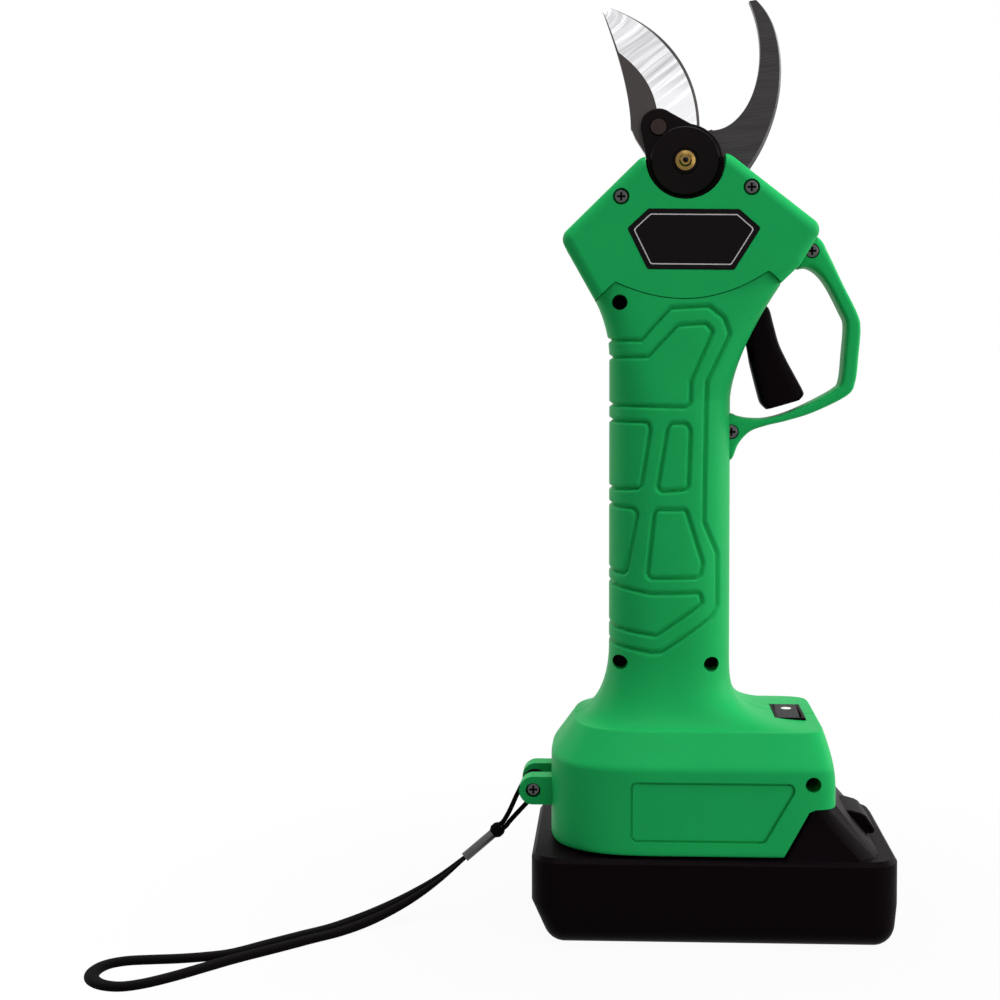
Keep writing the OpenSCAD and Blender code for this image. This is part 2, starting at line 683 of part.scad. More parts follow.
module hook_blade() {
    color(dark_steel) difference() {
        union() {
            skin([for (k = [0:hook_steps]) hook_ring(k / hook_steps)]);
            at(pivot) rod_y(hub_r, hook_front, hook_back);
            at(pivot) prism_y(hook_front, hook_back) polygon(hook_tang);
        }
        at(pivot) rod_y(shaft_r + bush_wall + 0.02, hook_front - 1, hook_back + 1);
        for (p = boss_places) at(pivot + p) rod_y(1.3, hook_front - 1, hook_back + 1);
    }
}

module pivot_bush() {
    color(brass) at(pivot) ring_y(shaft_r + bush_wall, shaft_r + run_gap, hook_front, case_front_t);
}

module shaft_bearing() {
    color(steel) at(pivot) ring_y(bearing_r, shaft_r + run_gap, case_inside, case_back);
}

module hook_screws() {
    color(dark_steel) for (p = boss_places) at(pivot + p) {
        rod_y(1.25, hook_front, hook_back + 8);
        rod_y(2.2, hook_front - 1.6, hook_front);
    }
}

// Gear case: two plates joined by a bowl below, a collar above and a neck for the pinion
module gear_case() {
    color("lightgray") difference() {
        union() {
            at(pivot) rod_y(hub_r - 0.1, 0, case_front_t);
            at(pivot) rod_y(disc_r - 0.1, case_inside, case_back);
            intersection() {
                at(pivot) ring_y(disc_r - 0.1, disc_r - 1.5, case_front_t - 0.5, case_back);
                translate([-100, -50, pivot_z + collar_low]) cube([200, 100, 100]);
            }
            intersection() {
                at(pivot) rod_y(rim_out, 0, case_back);
                translate([-100, -50, pivot_z + rim_top - 100]) cube([200, 100, 100]);
            }
            at(pivot) prism_y(0, case_front_t) {
                polygon([[-9, 0], [-9, rim_top - 2], [9, rim_top - 2], [9, 0]]);
                polygon([[-9, 3], [-12.2, 0], [-9, 0], [9, 0], [12.2, 0], [9, 3]]);
            }
            at(pivot) prism_y(case_inside, case_back)
                polygon([[-12, 0], [-12, rim_top - 2], [12, rim_top - 2], [12, 0]]);
            for (p = boss_places) at(pivot + p) rod_y(3, 0, case_inside);
            translate([drive_x, 0, case_floor_z]) cylinder(r = neck_r, h = neck_h);
        }
        at(pivot) rod_y(rim_in, case_front_t, case_inside);
        at(pivot) rod_y(shaft_r + bush_wall + 0.02, -1, case_front_t + 1);
        at(pivot) rod_y(bearing_r + 0.02, case_inside - 1, case_back + 1);
        for (p = boss_places) at(pivot + p) rod_y(1.27, -1, hook_back + 9);
        translate([drive_x, 0, case_floor_z - 1])
            cylinder(r = pinion_bearing_r + 0.02, h = 3 + pinion_bearing_h);
        translate([drive_x, 0, case_floor_z]) cylinder(r = 6.7, h = pivot_z - hub_r - case_floor_z);
        at(pivot) rod_y(hub_r + 0.5, -neck_r - 1, hook_back);
        at(pivot) rod_y(disc_r + 0.6, -neck_r - 1, disc_back + 0.6);
    }
}

// Pinion: straight teeth that narrow towards the pivot
module bevel_pinion() {
    tip = gear_heel / ratio + addendum * cone[0];
    root = gear_heel / ratio - 1;
    tip_a = (tooth_half - addendum * flank) / tip * 180 / PI;
    root_a = (tooth_half + flank) / root * 180 / PI;
    step = 360 / pinion_teeth;
    color(dark_steel) union() {
        translate([drive_x, 0, pinion_heel_z]) rotate(90 + step / 2)
            linear_extrude(gear_heel - gear_toe, scale = gear_toe / gear_heel)
                polygon([for (k = [0:pinion_teeth - 1],
                        c = [[-root_a, root], [-tip_a, tip], [tip_a, tip], [root_a, root]])
                    c[1] * [cos(k * step + c[0]), sin(k * step + c[0])]]);
        translate([drive_x, 0, pinion_heel_z - 1.6]) cylinder(r = root - 0.2, h = 1.6);
        translate([drive_x, 0, case_floor_z - pinion_reach])
            cylinder(r = pinion_shaft_r, h = pinion_heel_z - case_floor_z + pinion_reach);
    }
}

module pinion_bearing() {
    color(steel) translate([drive_x, 0, case_floor_z + 2 - 0.3]) difference() {
        cylinder(r = pinion_bearing_r, h = pinion_bearing_h);
        translate([0, 0, -1]) cylinder(r = pinion_shaft_r + run_gap, h = pinion_bearing_h + 2);
    }
}

gearbox_band = 4;
module gearbox_housing() {
    color("gray") translate([drive_x, 0, gearbox_z]) difference() {
        union() {
            cylinder(r = gearbox_r - 0.6, h = gearbox_len);
            for (k = [0, 0.5, 1]) translate([0, 0, k * (gearbox_len - gearbox_band)])
                cylinder(r = gearbox_r, h = gearbox_band);
        }
        translate([0, 0, gearbox_len - pinion_reach - 1]) cylinder(r = pinion_shaft_r + run_gap, h = 20);
    }
}

module motor() {
    color(steel) translate([drive_x, 0, motor_z]) {
        cylinder(r = motor_r, h = motor_len);
        translate([0, 0, -2]) cylinder(r = motor_r * 0.4, h = 2.5);
        for (s = [-1, 1]) translate([s * motor_r * 0.64 - 1.5, -0.4, -5]) cube([3, 0.8, 5.5]);
    }
}

// Trigger: oval sections from its hub down to the tip, [height from the pin, back, front, rise at the front]
trigger_rows = [
    [6, 28, 31.8, 0], [4.4, 25, 33, 0], [0, 23, 34.2, 0],
    [-7, 25.3, 36, 0.6], [-13, 26.4, 38.4, 1.4], [-19, 27.9, 41.2, 2.2],
    [-25, 29.5, 44, 3], [-26.8, 30.4, 44.2, 3.2], [-28.3, 32, 43, 3.2]];
function trigger_ring(row) =
    [for (i = [0:15])
        let (a = 22.5 * i, e = 2 / 3.6, k = sign(cos(a)) * pow(abs(cos(a)), e))
        let (w = sign(sin(a)) * pow(abs(sin(a)), e), share = (k + 1) / 2)
        [mix(row[1], row[2], share), trigger_half * w, trigger_pivot[1] + row[0] + row[3] * share]];
module trigger() {
    color(black) difference() {
        union() {
            skin([for (i = [len(trigger_rows) - 1:-1:0]) trigger_ring(trigger_rows[i])]);
            at(trigger_pivot) rod_y(trigger_hub_r, -trigger_half, trigger_half);
        }
        at(trigger_pivot) rod_y(trigger_pin_r + run_gap, -trigger_half - 1, trigger_half + 1);
    }
}

module trigger_pin() {
    color(steel) at(trigger_pivot) rod_y(trigger_pin_r, -trigger_slot_half - 3.8, trigger_slot_half + 3.8);
}

// Coil of round wire about the Y axis
function coil_ring(r, wire, turns, pitch, k, steps) =
    let (a = 360 * turns * k / steps, c = [r * cos(a), pitch * turns * k / steps, r * sin(a)])
    let (out = [cos(a), 0, sin(a)])
    [for (i = [0:5]) c + wire * (out * cos(60 * i) + [0, 1, 0] * sin(60 * i))];
module coil_y(r, wire, turns, pitch) {
    steps = turns * 10;
    skin([for (k = [0:steps]) coil_ring(r, wire, turns, pitch, k, steps)]);
}
spring_wire = 0.25;
module trigger_spring() {
    color(steel) at(trigger_pivot) translate([0, trigger_half + spring_wire + 0.1, 0])
        coil_y(trigger_pin_r + spring_wire + 0.1, spring_wire, 1.5, 0.6);
}

// Microswitch between the gearbox and the trigger's back
switch_body = [5, 12, 6];
switch_below_pin = 11;
module trigger_switch() {
    color(black) translate([drive_x + gearbox_r + 0.5, -switch_body[1] / 2, 0])
        translate([0, 0, trigger_pivot[1] - switch_below_pin]) cube(switch_body);
}

// Rocker switch
module switch_bezel() {
    color(black) translate([switch_x, 0, switch_z]) difference() {
        translate([-switch_half_x, -switch_half_y, -switch_deep])
            cube([2 * switch_half_x, 2 * switch_half_y, switch_deep + 0.5]);
        translate([-switch_half_x + 0.9, -switch_half_y + 0.9, -switch_deep + 1])
            cube([2 * switch_half_x - 1.8, 2 * switch_half_y - 1.8, switch_deep + 2]);
        translate([-switch_half_x - 1, 0, rocker_pin_z - switch_z]) rotate([0, 90, 0])
            cylinder(r = rocker_pin_r + run_gap, h = 2 * switch_half_x + 2);
    }
}

rocker_pin_r = 1;
rocker_half_x = switch_half_x - 1.2;
rocker_half_y = switch_half_y - 1.4;
module power_rocker() {
    color(black) translate([switch_x, 0, rocker_pin_z]) rotate([rocker_tilt, 0, 0]) union() {
        translate([-rocker_half_x, 0, 0]) rotate([90, 0, 90]) linear_extrude(2 * rocker_half_x)
            polygon([[-rocker_half_y, 3.4], [0, 2.2], [rocker_half_y, 3.4],
                [rocker_half_y - 1, 0], [3, -2.6], [-3, -2.6], [-rocker_half_y + 1, 0]]);
        translate([-switch_half_x + 0.1, 0, 0]) rotate([0, 90, 0])
            cylinder(r = rocker_pin_r, h = 2 * switch_half_x - 0.2);
    }
}

// Electronics
board_half = 9;
board_t = 1.6;
board_z = [foot_top_z + 9, foot_top_z + 49];
// Parts on the board: place from the middle of its lower edge, then size
board_parts = [
    [[-8, 0.6, 8], [9, 4, 9]], [[3, 0.6, 20], [6, 6, 10]],
    [[-9, -3.4, 24], [4.5, 2.8, 8]], [[-3, -3.4, 24], [4.5, 2.8, 8]], [[3, -3.4, 24], [4.5, 2.8, 8]]];
module control_board() {
    color("darkgreen") union() {
        translate([-board_half, -board_t / 2, board_z[0]])
            cube([2 * board_half, board_t, board_z[1] - board_z[0]]);
        for (p = board_parts) translate([0, 0, board_z[0]] + p[0]) cube(p[1]);
    }
}

terminal_z = foot_z + 6;
terminal_top = foot_z + 17.2;
terminal_half = 18;
terminal_t = 4.2;
contact_places = [-15, -5, 5, 15];
module terminal_block() {
    color(black) translate([block_left - 0.7, 0, 0]) union() {
        translate([-terminal_t, -terminal_half, terminal_z])
            cube([terminal_t, 2 * terminal_half, terminal_top - terminal_z]);
        for (y = contact_places) translate([-0.2, y - 0.4, terminal_z + 1]) cube([15, 0.8, 5]);
    }
}

// Battery pack
pack_half = foot_half + pack_overhang;
pack_corner = 9;
pack_low_r = 7;
pack_split_z = pack_h - 2;
pack_mid_z = 13;
pack_tuck = 3.7;
module pack_posts(r, side, z0, z1) {
    for (x = [-pack_left + side + r, pack_right - side - r], s = [-1, 1])
        translate([x, s * (pack_half - side - r), z0]) cylinder(r = r, h = z1 - z0, $fn = 32);
}
module battery_case_lower() {
    color(black) difference() {
        hull() {
            pack_posts(pack_corner, 0, pack_mid_z, pack_split_z);
            for (x = [-pack_left + pack_tuck + pack_low_r, pack_right - 0.9 - pack_low_r],
                    y = [-pack_half + 0.5 + pack_low_r, pack_half - 0.5 - pack_low_r])
                translate([x, y, pack_low_r]) sphere(pack_low_r, $fn = 32);
        }
        translate([cell_x(0) - cell_r - fit_gap, -cell_len / 2 - fit_gap, cell_z - cell_r - 0.1])
            cube([4 * cell_step + 2 * cell_r + 2 * fit_gap, cell_len + 2 * fit_gap, pack_h]);
    }
}

cell_step = 2 * cell_r + 1;
cell_z = 13;
function cell_x(i) = (pack_right - pack_left) / 2 + (i - 2) * cell_step;
module battery_cells() {
    color("steelblue") for (i = [0:4]) at([cell_x(i), cell_z]) rod_y(cell_r, -cell_len / 2, cell_len / 2);
}

module battery_board() {
    color("darkgreen") translate([-20, -18, pack_split_z - 1.9]) cube([60, 36, 1.6]);
}

// Upper case: plate, slotted block for the rails, and the wedge with the latch
wedge_half = foot_half - 0.6;
wedge_low = [[foot_cut[0][0] + 0.8, wedge_half], [pack_right - 12, wedge_half - 0.6],
    [pack_right - 7, wedge_half - 5], [pack_right - 5, wedge_half - 11]];
wedge_high = [[foot_cut[2][0] - 0.4, wedge_half - 2], [foot_cut[2][0] + 4, wedge_half - 3.5],
    [foot_right - 1.5, wedge_half - 8.5]];
latch_half = 10;
latch_z = [29.6, 37.2];
latch_back = 50;
neck_half = rail_half - fit_gap;
module battery_case_upper() {
    color(black) difference() {
        union() {
            hull() {
                pack_posts(pack_corner, 0, pack_split_z, pack_split_z + 0.5);
                pack_posts(pack_corner - 1.5, 1.2, pack_h - 0.2, pack_h);
            }
            translate([block_left, -neck_half, pack_h - 0.5])
                cube([block_len, 2 * neck_half, rail_top + 2 - pack_h]);
            translate([0, 0, rail_top + fit_gap]) linear_extrude(block_top - rail_top - fit_gap)
                polygon(concat(block_plan, mirrored(block_plan)));
            hull() {
                translate([0, 0, pack_h - 0.5]) linear_extrude(0.1)
                    polygon(concat(wedge_low, mirrored(wedge_low)));
                translate([0, 0, block_top - 0.1]) linear_extrude(0.1)
                    polygon(concat(wedge_high, mirrored(wedge_high)));
            }
        }
        for (y = contact_places) translate([block_left - 1, y - 1.4, rail_top + 1.4]) cube([17.5, 2.8, 7.2]);
        translate([latch_back, -latch_half - fit_gap, latch_z[0] - fit_gap])
            cube([40, 2 * latch_half + 2 * fit_gap, latch_z[1] - latch_z[0] + 2 * fit_gap]);
    }
}

module battery_terminals() {
    color(brass) for (y = contact_places, s = [-1, 1])
        translate([block_left + 2, y + s * 1.1 - 0.25, rail_top + 1.8]) cube([10, 0.5, 5.5]);
}

latch_face = [64.6, 67.6];
module latch_button() {
    color(black) prism_y(-latch_half, latch_half) polygon([
        [latch_back + 6, latch_z[0]], [latch_face[1] - 0.6, latch_z[0]], [latch_face[1], latch_z[0] + 1.4],
        [latch_face[0], latch_z[1] - 1.8], [latch_face[0] - 1.4, latch_z[1] - 1],
        [latch_face[0] - 5, latch_z[1]], [latch_back + 6, latch_z[1]]]);
}

module latch_spring() {
    color(steel) translate([latch_back + 0.5, 0, (latch_z[0] + latch_z[1]) / 2]) rotate([0, 0, -90])
        coil_y(2.6, 0.35, 4, 1.25);
}

// Fasteners
module cross_screw(head_y, head_r, head_h, tip_y) {
    difference() {
        union() {
            rod_y(screw_r, head_y, tip_y);
            rod_y(head_r, head_y, head_y + head_h);
        }
        for (a = [0, 90]) rotate([0, a, 0]) translate([-1.3, head_y - 1, -0.35]) cube([2.6, 1.9, 0.7]);
    }
}

module head_screws() {
    color(dark_steel) for (p = head_screw_places) at(p)
        cross_screw(-head_half + head_well_deep - 1.5, screw_head_r, 1.5, 11);
}

module guard_screws() {
    color(steel) for (p = [guard_screw_top, guard_screw_low]) at(p)
        cross_screw(-guard_half + 0.1, screw_head_r, 1.5, guard_half);
}

module housing_screws() {
    color(dark_steel) for (p = shell_screws) at(p)
        cross_screw(well_floor - 1.6, screw_head_r, 1.6, 8.6);
}

module lug_screw() {
    color(dark_steel) at(lug) cross_screw(-lug_out + 1.4, screw_head_r, 1.6, lug_out - 0.5);
}

module lug_sleeve() {
    color(dark_steel) at(lug) ring_y(lug_sleeve_r, screw_r + 0.05, -lug_in + 0.05, lug_in - 0.05);
}

// Strap: a thin loop round the lug, a knot, a crimp and a doubled tape that ends in a loop on the floor
knot_start = [-56, -2.5, 28.5];
crimp_end = [-68, -6.5, 19];
strap_axis = unit(crimp_end - knot_start);
knot_len = 3.9;
crimp_len = norm(crimp_end - knot_start) - knot_len;
crimp_r = 1.6;
strap_side = unit(cross([0, 0, 1], strap_axis));
strap_up = cross(strap_axis, strap_side);

module along_strap(start) {
    multmatrix([
        [strap_side[0], strap_up[0], strap_axis[0], knot_start[0] + strap_axis[0] * start],
        [strap_side[1], strap_up[1], strap_axis[1], knot_start[1] + strap_axis[1] * start],
        [strap_side[2], strap_up[2], strap_axis[2], knot_start[2] + strap_axis[2] * start],
        [0, 0, 0, 1]]) children();
}

cord_turn_r = lug_sleeve_r + cord_d / 2 + 0.1;
cord_part = strap_up * (cord_d / 2 + 0.1);
cord_stops = concat(
    [knot_start + cord_part, knot_start + cord_part - strap_axis * 1.5],
    [[-53.4, -1.6, 33.4], [-50.8, -0.8, 39]],
    [for (a = [150, 125, 100, 75, 50, 25, 0, -25, -45])
        [lug[0] + cord_turn_r * cos(a), 0, lug[1] + cord_turn_r * sin(a)]],
    [[-46, -0.5, 37.7], [-50, -1.2, 33.6], [-53, -1.8, 30.4],
     knot_start - cord_part - strap_axis * 1.5, knot_start - cord_part]);
function cord_heading(i) =
    i < 2 ? -strap_axis : i > len(cord_stops) - 3 ? strap_axis : heading(cord_stops, i);
module strap_cord() {
    color(black) skin([for (i = [0:len(cord_stops) - 1])
        oval_ring([cord_stops[i], cord_heading(i), cord_d / 2, cord_d / 2], 8, [0, 1, 0])]);
}

module strap_knot() {
    color(black) along_strap(0) rotate_extrude($fn = 24)
        polygon([[0, 0], [1.9, 0], [2.4, 1], [2.4, 2.6], [1.5, knot_len], [0, knot_len]]);
}

module strap_crimp() {
    color(steel) along_strap(knot_len) cylinder(r = crimp_r, h = crimp_len, $fn = 32);
}

// Middle line of the doubled tape, then the open loop from the far strand round to the near one
tape_lift = tape_t / 2 + 0.05;
tape_doubled = [
    [-76, -9.4, 13], [-84, -12.6, 8.3], [-92, -16.6, 4.8], [-100, -21.6, 2.4],
    [-108, -28, tape_lift], [-116, -35.2, tape_lift], [-125, -43.6, tape_lift]];
tape_loop = [
    [-136, -50.5], [-144, -54], [-152, -56], [-160, -57.2], [-167, -58.6], [-172, -62], [-174, -67.6],
    [-173, -73.4], [-169, -78], [-163, -79.6], [-156.6, -77], [-149, -70.6], [-141, -62.2], [-134, -55]];
tape_swell = [0.32, 0.55, 0.78, 0.92, 1, 1, 1, 1];
tape_line = concat([crimp_end], tape_doubled);
function tape_shift(i, side) =
    let (d = i == 0 ? strap_axis : heading(tape_line, i), s = unit([-d[1], d[0], 0]))
    tape_line[i] - side * s * (tape_w / 2 + 0.25) * tape_swell[i];
tape_stops = concat(
    [for (i = [0:len(tape_line) - 1]) tape_shift(i, 1)],
    [for (p = tape_loop) [p[0], p[1], tape_lift]],
    [for (i = [len(tape_line) - 1:-1:0]) tape_shift(i, -1)]);
function tape_scale(i) =
    let (n = len(tape_stops), k = len(tape_swell))
    i < k ? tape_swell[i] : i > n - 1 - k ? tape_swell[n - 1 - i] : 1;
function tape_heading(i) =
    i == 0 ? strap_axis : i == len(tape_stops) - 1 ? -strap_axis : heading(tape_stops, i);
module strap_tape() {
    color(black) skin([for (i = [0:len(tape_stops) - 1])
        oval_ring([tape_stops[i], tape_heading(i), tape_w / 2 * tape_scale(i), tape_t / 2 * tape_scale(i)],
            8, [0, 0, 1])]);
}

front_shell();
rear_shell();
head_cover_front();
head_cover_rear();
badge_plate();
trigger_guard();
moving_blade();
driver_plate();
drive_pin();
pivot_shaft();
shaft_nut();
grease_nipple();
bevel_sector();
hook_blade();
pivot_bush();
shaft_bearing();
gear_case();
hook_screws();
bevel_pinion();
pinion_bearing();
gearbox_housing();
motor();
trigger();
trigger_pin();
trigger_spring();
trigger_switch();
switch_bezel();
power_rocker();
control_board();
terminal_block();
battery_case_lower();
battery_case_upper();
battery_cells();
battery_board();
battery_terminals();
latch_button();
latch_spring();
head_screws();
guard_screws();
housing_screws();
lug_screw();
lug_sleeve();
strap_cord();
strap_knot();
strap_crimp();
strap_tape();
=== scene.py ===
import json
import math

import bmesh
import bpy
import numpy as np
from mathutils import Matrix, Vector


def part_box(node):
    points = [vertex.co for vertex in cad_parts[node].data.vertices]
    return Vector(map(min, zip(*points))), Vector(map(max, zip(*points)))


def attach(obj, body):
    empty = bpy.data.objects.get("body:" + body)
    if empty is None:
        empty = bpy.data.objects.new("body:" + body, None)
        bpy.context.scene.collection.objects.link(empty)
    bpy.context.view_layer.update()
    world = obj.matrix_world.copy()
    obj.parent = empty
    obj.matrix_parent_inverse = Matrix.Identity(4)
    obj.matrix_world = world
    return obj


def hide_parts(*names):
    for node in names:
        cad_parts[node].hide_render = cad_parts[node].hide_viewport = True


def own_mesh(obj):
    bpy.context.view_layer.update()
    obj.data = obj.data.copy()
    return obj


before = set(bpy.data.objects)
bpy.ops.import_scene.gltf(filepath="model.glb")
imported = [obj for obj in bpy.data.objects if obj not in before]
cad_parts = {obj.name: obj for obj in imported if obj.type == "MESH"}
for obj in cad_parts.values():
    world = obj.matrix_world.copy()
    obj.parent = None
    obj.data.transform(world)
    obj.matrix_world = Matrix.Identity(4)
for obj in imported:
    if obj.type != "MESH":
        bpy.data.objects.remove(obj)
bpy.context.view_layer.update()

bl_info = {
    "name": "Battery Electric Pruner",
    "version": (1, 0, 0),
    "blender": (4, 5, 0),
    "location": "3D View > Sidebar > Pruner",
    "description": "Dresses the packed pruner: green shells with a moulded grip, blades, battery "
                   "and wrist strap",
    "category": "Object",
}

MM = 0.001

# Sizes in millimetres, mostly as the part's source has them
PIVOT = np.array([4.6, 249.4])
SEAM_Z, SEAM_GAP = 204.7, 0.3
HANDLE_W, HANDLE_D, HANDLE_TOP = 20.0, 20.5, 217
HEAD_HALF, HEAD_EDGE, WALL, FIT_GAP = 19.5, 4.0, 2.4, 0.3
FOOT_LEFT, FOOT_HALF = 39.0, 37.0
FOOT_Z, FOOT_END_Z, SHOULDER_Z, FOOT_TOP_Z, FLARE_H = 29.0, 50.0, 56.5, 67.0, 23.0
FOOT_TOP_LEFT, FOOT_TOP_HALF = 31.5, 30.0
CREASE = 1.0
HANDLE_SQUARE, NECK_SQUARE, LEFT_SQUARE, RIGHT_SQUARE = 2.6, 5.0, 3.2, 12.0
NECK_LEFT_Z, NECK_RIGHT_Z, NECK_LEFT_W, NECK_RIGHT_W = 186.0, 172.0, 4.7, 12.8
NECK_LEFT_BEND, NECK_RIGHT_BEND = 2, 1.6
SEAM_LEFT = (-17.9, SEAM_Z + 5.4)
SEAM_RIGHT = (31.3, SEAM_Z + 8.9)
SEAM_LOW_X, SEAM_FALL = 4.4, 0.9
SCREW_WELLS = [(-16.5, SEAM_Z - 1.1), (-16.2, 86.4), (13.3, 86.4), (44.3, 52.0)]
WELL_R, WELL_FLOOR = 2.5, -7.0
LUG = (-44.8, 43.4)
LUG_R, LUG_IN, LUG_OUT, LUG_ROOT, LUG_WELL_DEEP = 4.6, 6.0, 13.0, 2, 3
FOOT_CUT = [(35, 29), (43, 43.4), (45, 44.2), (62, 44.2), (62, 20), (30, 20)]
PANEL = [(-13, 33.4), (29.3, 33.4), (38.6, 49.5), (38.6, 52.6), (-13, 52.6)]
PANEL_R, PANEL_DEEP = 2.0, 0.6
SWITCH_BOX = [(34.4, -11.3, 58.0), (44.8, 11.3, 90.0)]
TRIGGER_SLOT = [(17.9, -7.1, 182.7), (60.0, 7.1, 206.7)]
GUARD_SLOT = [(17.4, -6.8, 151.9), (40.0, 6.8, 167.7)]
SEAT_TOP, RAIL_TOP, RAIL_HALF = 47, 33.6, 27.5
DRIVE_BORE, DRIVE_BORE_Z = 13.6, 110
HEAD_MID_R = np.array([41.6, SEAM_Z + 11.1])
HEAD_CORNER_R = np.array([48.8, SEAM_Z + 23.1])
HEAD_OUTLINE = [
    (PIVOT[0] + 14.1, PIVOT[1] + 1.9), (PIVOT[0] - 14.3, PIVOT[1] + 1), (-36, SEAM_Z + 20),
    (-17.4, SEAM_Z - 13), (18, SEAM_Z - 11.8), HEAD_MID_R, HEAD_CORNER_R]
HEAD_SCREWS = [(-16.1, PIVOT[1] - 11.9), (25.6, PIVOT[1] - 9.1)]
HEAD_WELL_R, HEAD_WELL_DEEP, NOTCH_R, COLLAR_T, BOSS_R = 2.7, 2.2, 12.9, 2, 3.7
DISC_BACK, CASE_BACK, NOTCH_GAP = -7.45, 13.6, 0.6
BADGE = [
    (-14, SEAM_Z + 22.5), (-7.6, SEAM_Z + 9.5), (20, SEAM_Z + 9.2), (28.4, SEAM_Z + 22.5),
    (21.6, SEAM_Z + 28.4), (-7.3, SEAM_Z + 28.7)]
BADGE_R, BADGE_DEEP, BADGE_GAP = 1, 0.8, 0.15
GUARD_EDGE = (HEAD_CORNER_R - HEAD_MID_R) / np.linalg.norm(HEAD_CORNER_R - HEAD_MID_R)
GUARD_HALF, GUARD_SQUARE = 6.5, 4.2
GUARD_TAB_L, GUARD_TAB_LOW, GUARD_TAB_HIGH = 12, -0.5, 4
GUARD_PAIRS = [
    (HEAD_MID_R + [0.3, -0.6], HEAD_MID_R + GUARD_EDGE * GUARD_TAB_L), ((42.3, 215), (50, 224)),
    ((45, 215.2), (51.6, 220.8)), ((48.3, 213.3), (54.2, 215.4)), ((51.7, 209), (56.8, 209.8)),
    ((56, 200.7), (61.4, 200.6)), ((57.5, 196.5), (62.6, 195.6)), ((56.9, 187), (62, 186.6)),
    ((56, 178.3), (61, 178)), ((53.8, 175.4), (58.3, 173.3)), ((45, 170.6), (47.4, 167.8)),
    ((37.5, 167.4), (38.6, 165)), ((31.5, 165.9), (32, 163.4)), ((26, 165.9), (26.6, 161.4)),
    ((22.4, 166.6), (22.8, 157.4)), ((20.5, 167.4), (20.5, 152.2)), ((17.7, 167.4), (17.7, 152.2))]
GUARD_SCREWS = [(46.3, SEAM_Z + 16), (20.2, 161.4)]
GUARD_WELL_R, GUARD_WELL_DEEP = 2.45, 1.6
TRIGGER_PIVOT = (24.5, 197.0)
TRIGGER_HALF, TRIGGER_EYE_R, TRIGGER_SQUARE = 5.5, 3.4, 3.6
# Height from the pin, back, front and rise of the front
TRIGGER_ROWS = [
    (6, 28, 31.8, 0), (4.4, 25, 33, 0), (0, 23, 34.2, 0), (-7, 25.3, 36, 0.6),
    (-13, 26.4, 38.4, 1.4), (-19, 27.9, 41.2, 2.2), (-25, 29.5, 44, 3), (-26.8, 30.4, 44.2, 3.2),
    (-28.3, 32, 43, 3.2)]
BLADE_FRONT, BLADE_BACK = -7.35, -4.15
HOOK_FRONT, HOOK_BACK = -4.0, 0.0
# Blade and hook outlines, measured from the pivot
EDGE_CURVE = [(5, 11), (5, 31), (-7, 46), (-27.5, 52)]
SPINE_CURVE = [(-17.6, 11), (-17.6, 26), (-25, 44), (-27.3, 51.2)]
BLADE_ROOT = [(5, 11.4), (-17.5, 11.4), (-16, 7.9), (-9, -3), (9, 3)]
HOOK_INNER = [(9, 11), (21, 11), (30, 33), (21.1, 53)]
HOOK_OUTER = [(21, -2.5), (34.5, 16), (35, 43), (23.4, 53.4)]
HOOK_TANG = [
    (21.2, -2.2), (17, -6.6), (16.2, -15.8), (10.4, -16.4), (8.4, -9.5), (0, -5), (-8.4, -9.5),
    (-10.4, -16.4), (-16.2, -15.8), (-16.2, -8), (-9, 0), (5, 10), (9, 11.3)]
HOOK_ROOT = [(0, 0), (8.4, -9.5), (17, -6.6)]
FLAT_SHARE, FLAT_LEAST, FLAT_END, EDGE_LAND, TIP_T = 0.4, 0.03, 0.56, 0.35, 0.9
HUB_R = 9.5
SCREW_R, SCREW_HEAD_R, SCREW_HEAD_H, BORE_R = 1.5, 2.3, 1.5, 1.55
# Each screw group's name, places, head front, tip and finish
SCREW_GROUPS = (
    ("head_screws", HEAD_SCREWS, -HEAD_HALF + HEAD_WELL_DEEP - SCREW_HEAD_H, 11, "plated"),
    ("guard_screws", GUARD_SCREWS, -GUARD_HALF + 0.1, GUARD_HALF, "plated"),
    # The housing screws take the painted recess shade: near-black that stands in for the shade deep
    # in their wells
    ("housing_screws", SCREW_WELLS, WELL_FLOOR - 1.6, 8.6, "oxide"),
    ("lug_screw", [LUG], -LUG_OUT + 1.4, LUG_OUT - 0.5, "plated"))
ROCKER_PIN = (39.6, 0.0, 64.9)
ROCKER_TILT = 7.0

# Sizes in millimetres of forms that this script alone has, or has closer to the real tool
FOOT_RIGHT, FOOT_TOP_RIGHT = 52.3, 48.7
END_BULGE, FLARE_REACH = 1.8, 1.95
RIM_T, RIM_H, RIM_FOOT = 1.2, 1.5, 1
PANEL_MOAT, PARTING_HALF = 0.4, 0.4
FINE_BEVEL, FINE_RISE = 0.93, 0.12
HOOK_STRIP, HOOK_STRIP_DROP = 0.93, 0.6
BLADE_HUB_R, REAR_NOTCH_R = 12.75, 12.5
BORDER_INSET, BORDER_RISE, BORDER_SINK = 1.5, 0.05, 0.02
NIPPLE_BALL_R, NIPPLE_BALL_DEEP = 1.1, 0.6
ROCKER_FACE, MARK_T = 2.2, 0.16
# Each mark's name, place along the rocker, stretch and finish
ROCKER_MARKS = (("rocker_dot", 5.2, (1.7, 1.2, 1), "white"),
                ("rocker_dash", -4.8, (1.9, 0.8, 1), "red"))
CROSS_LONG, CROSS_THIN, CROSS_DEEP, SCREW_ROUND = 1.35, 0.36, 0.9, 0.55

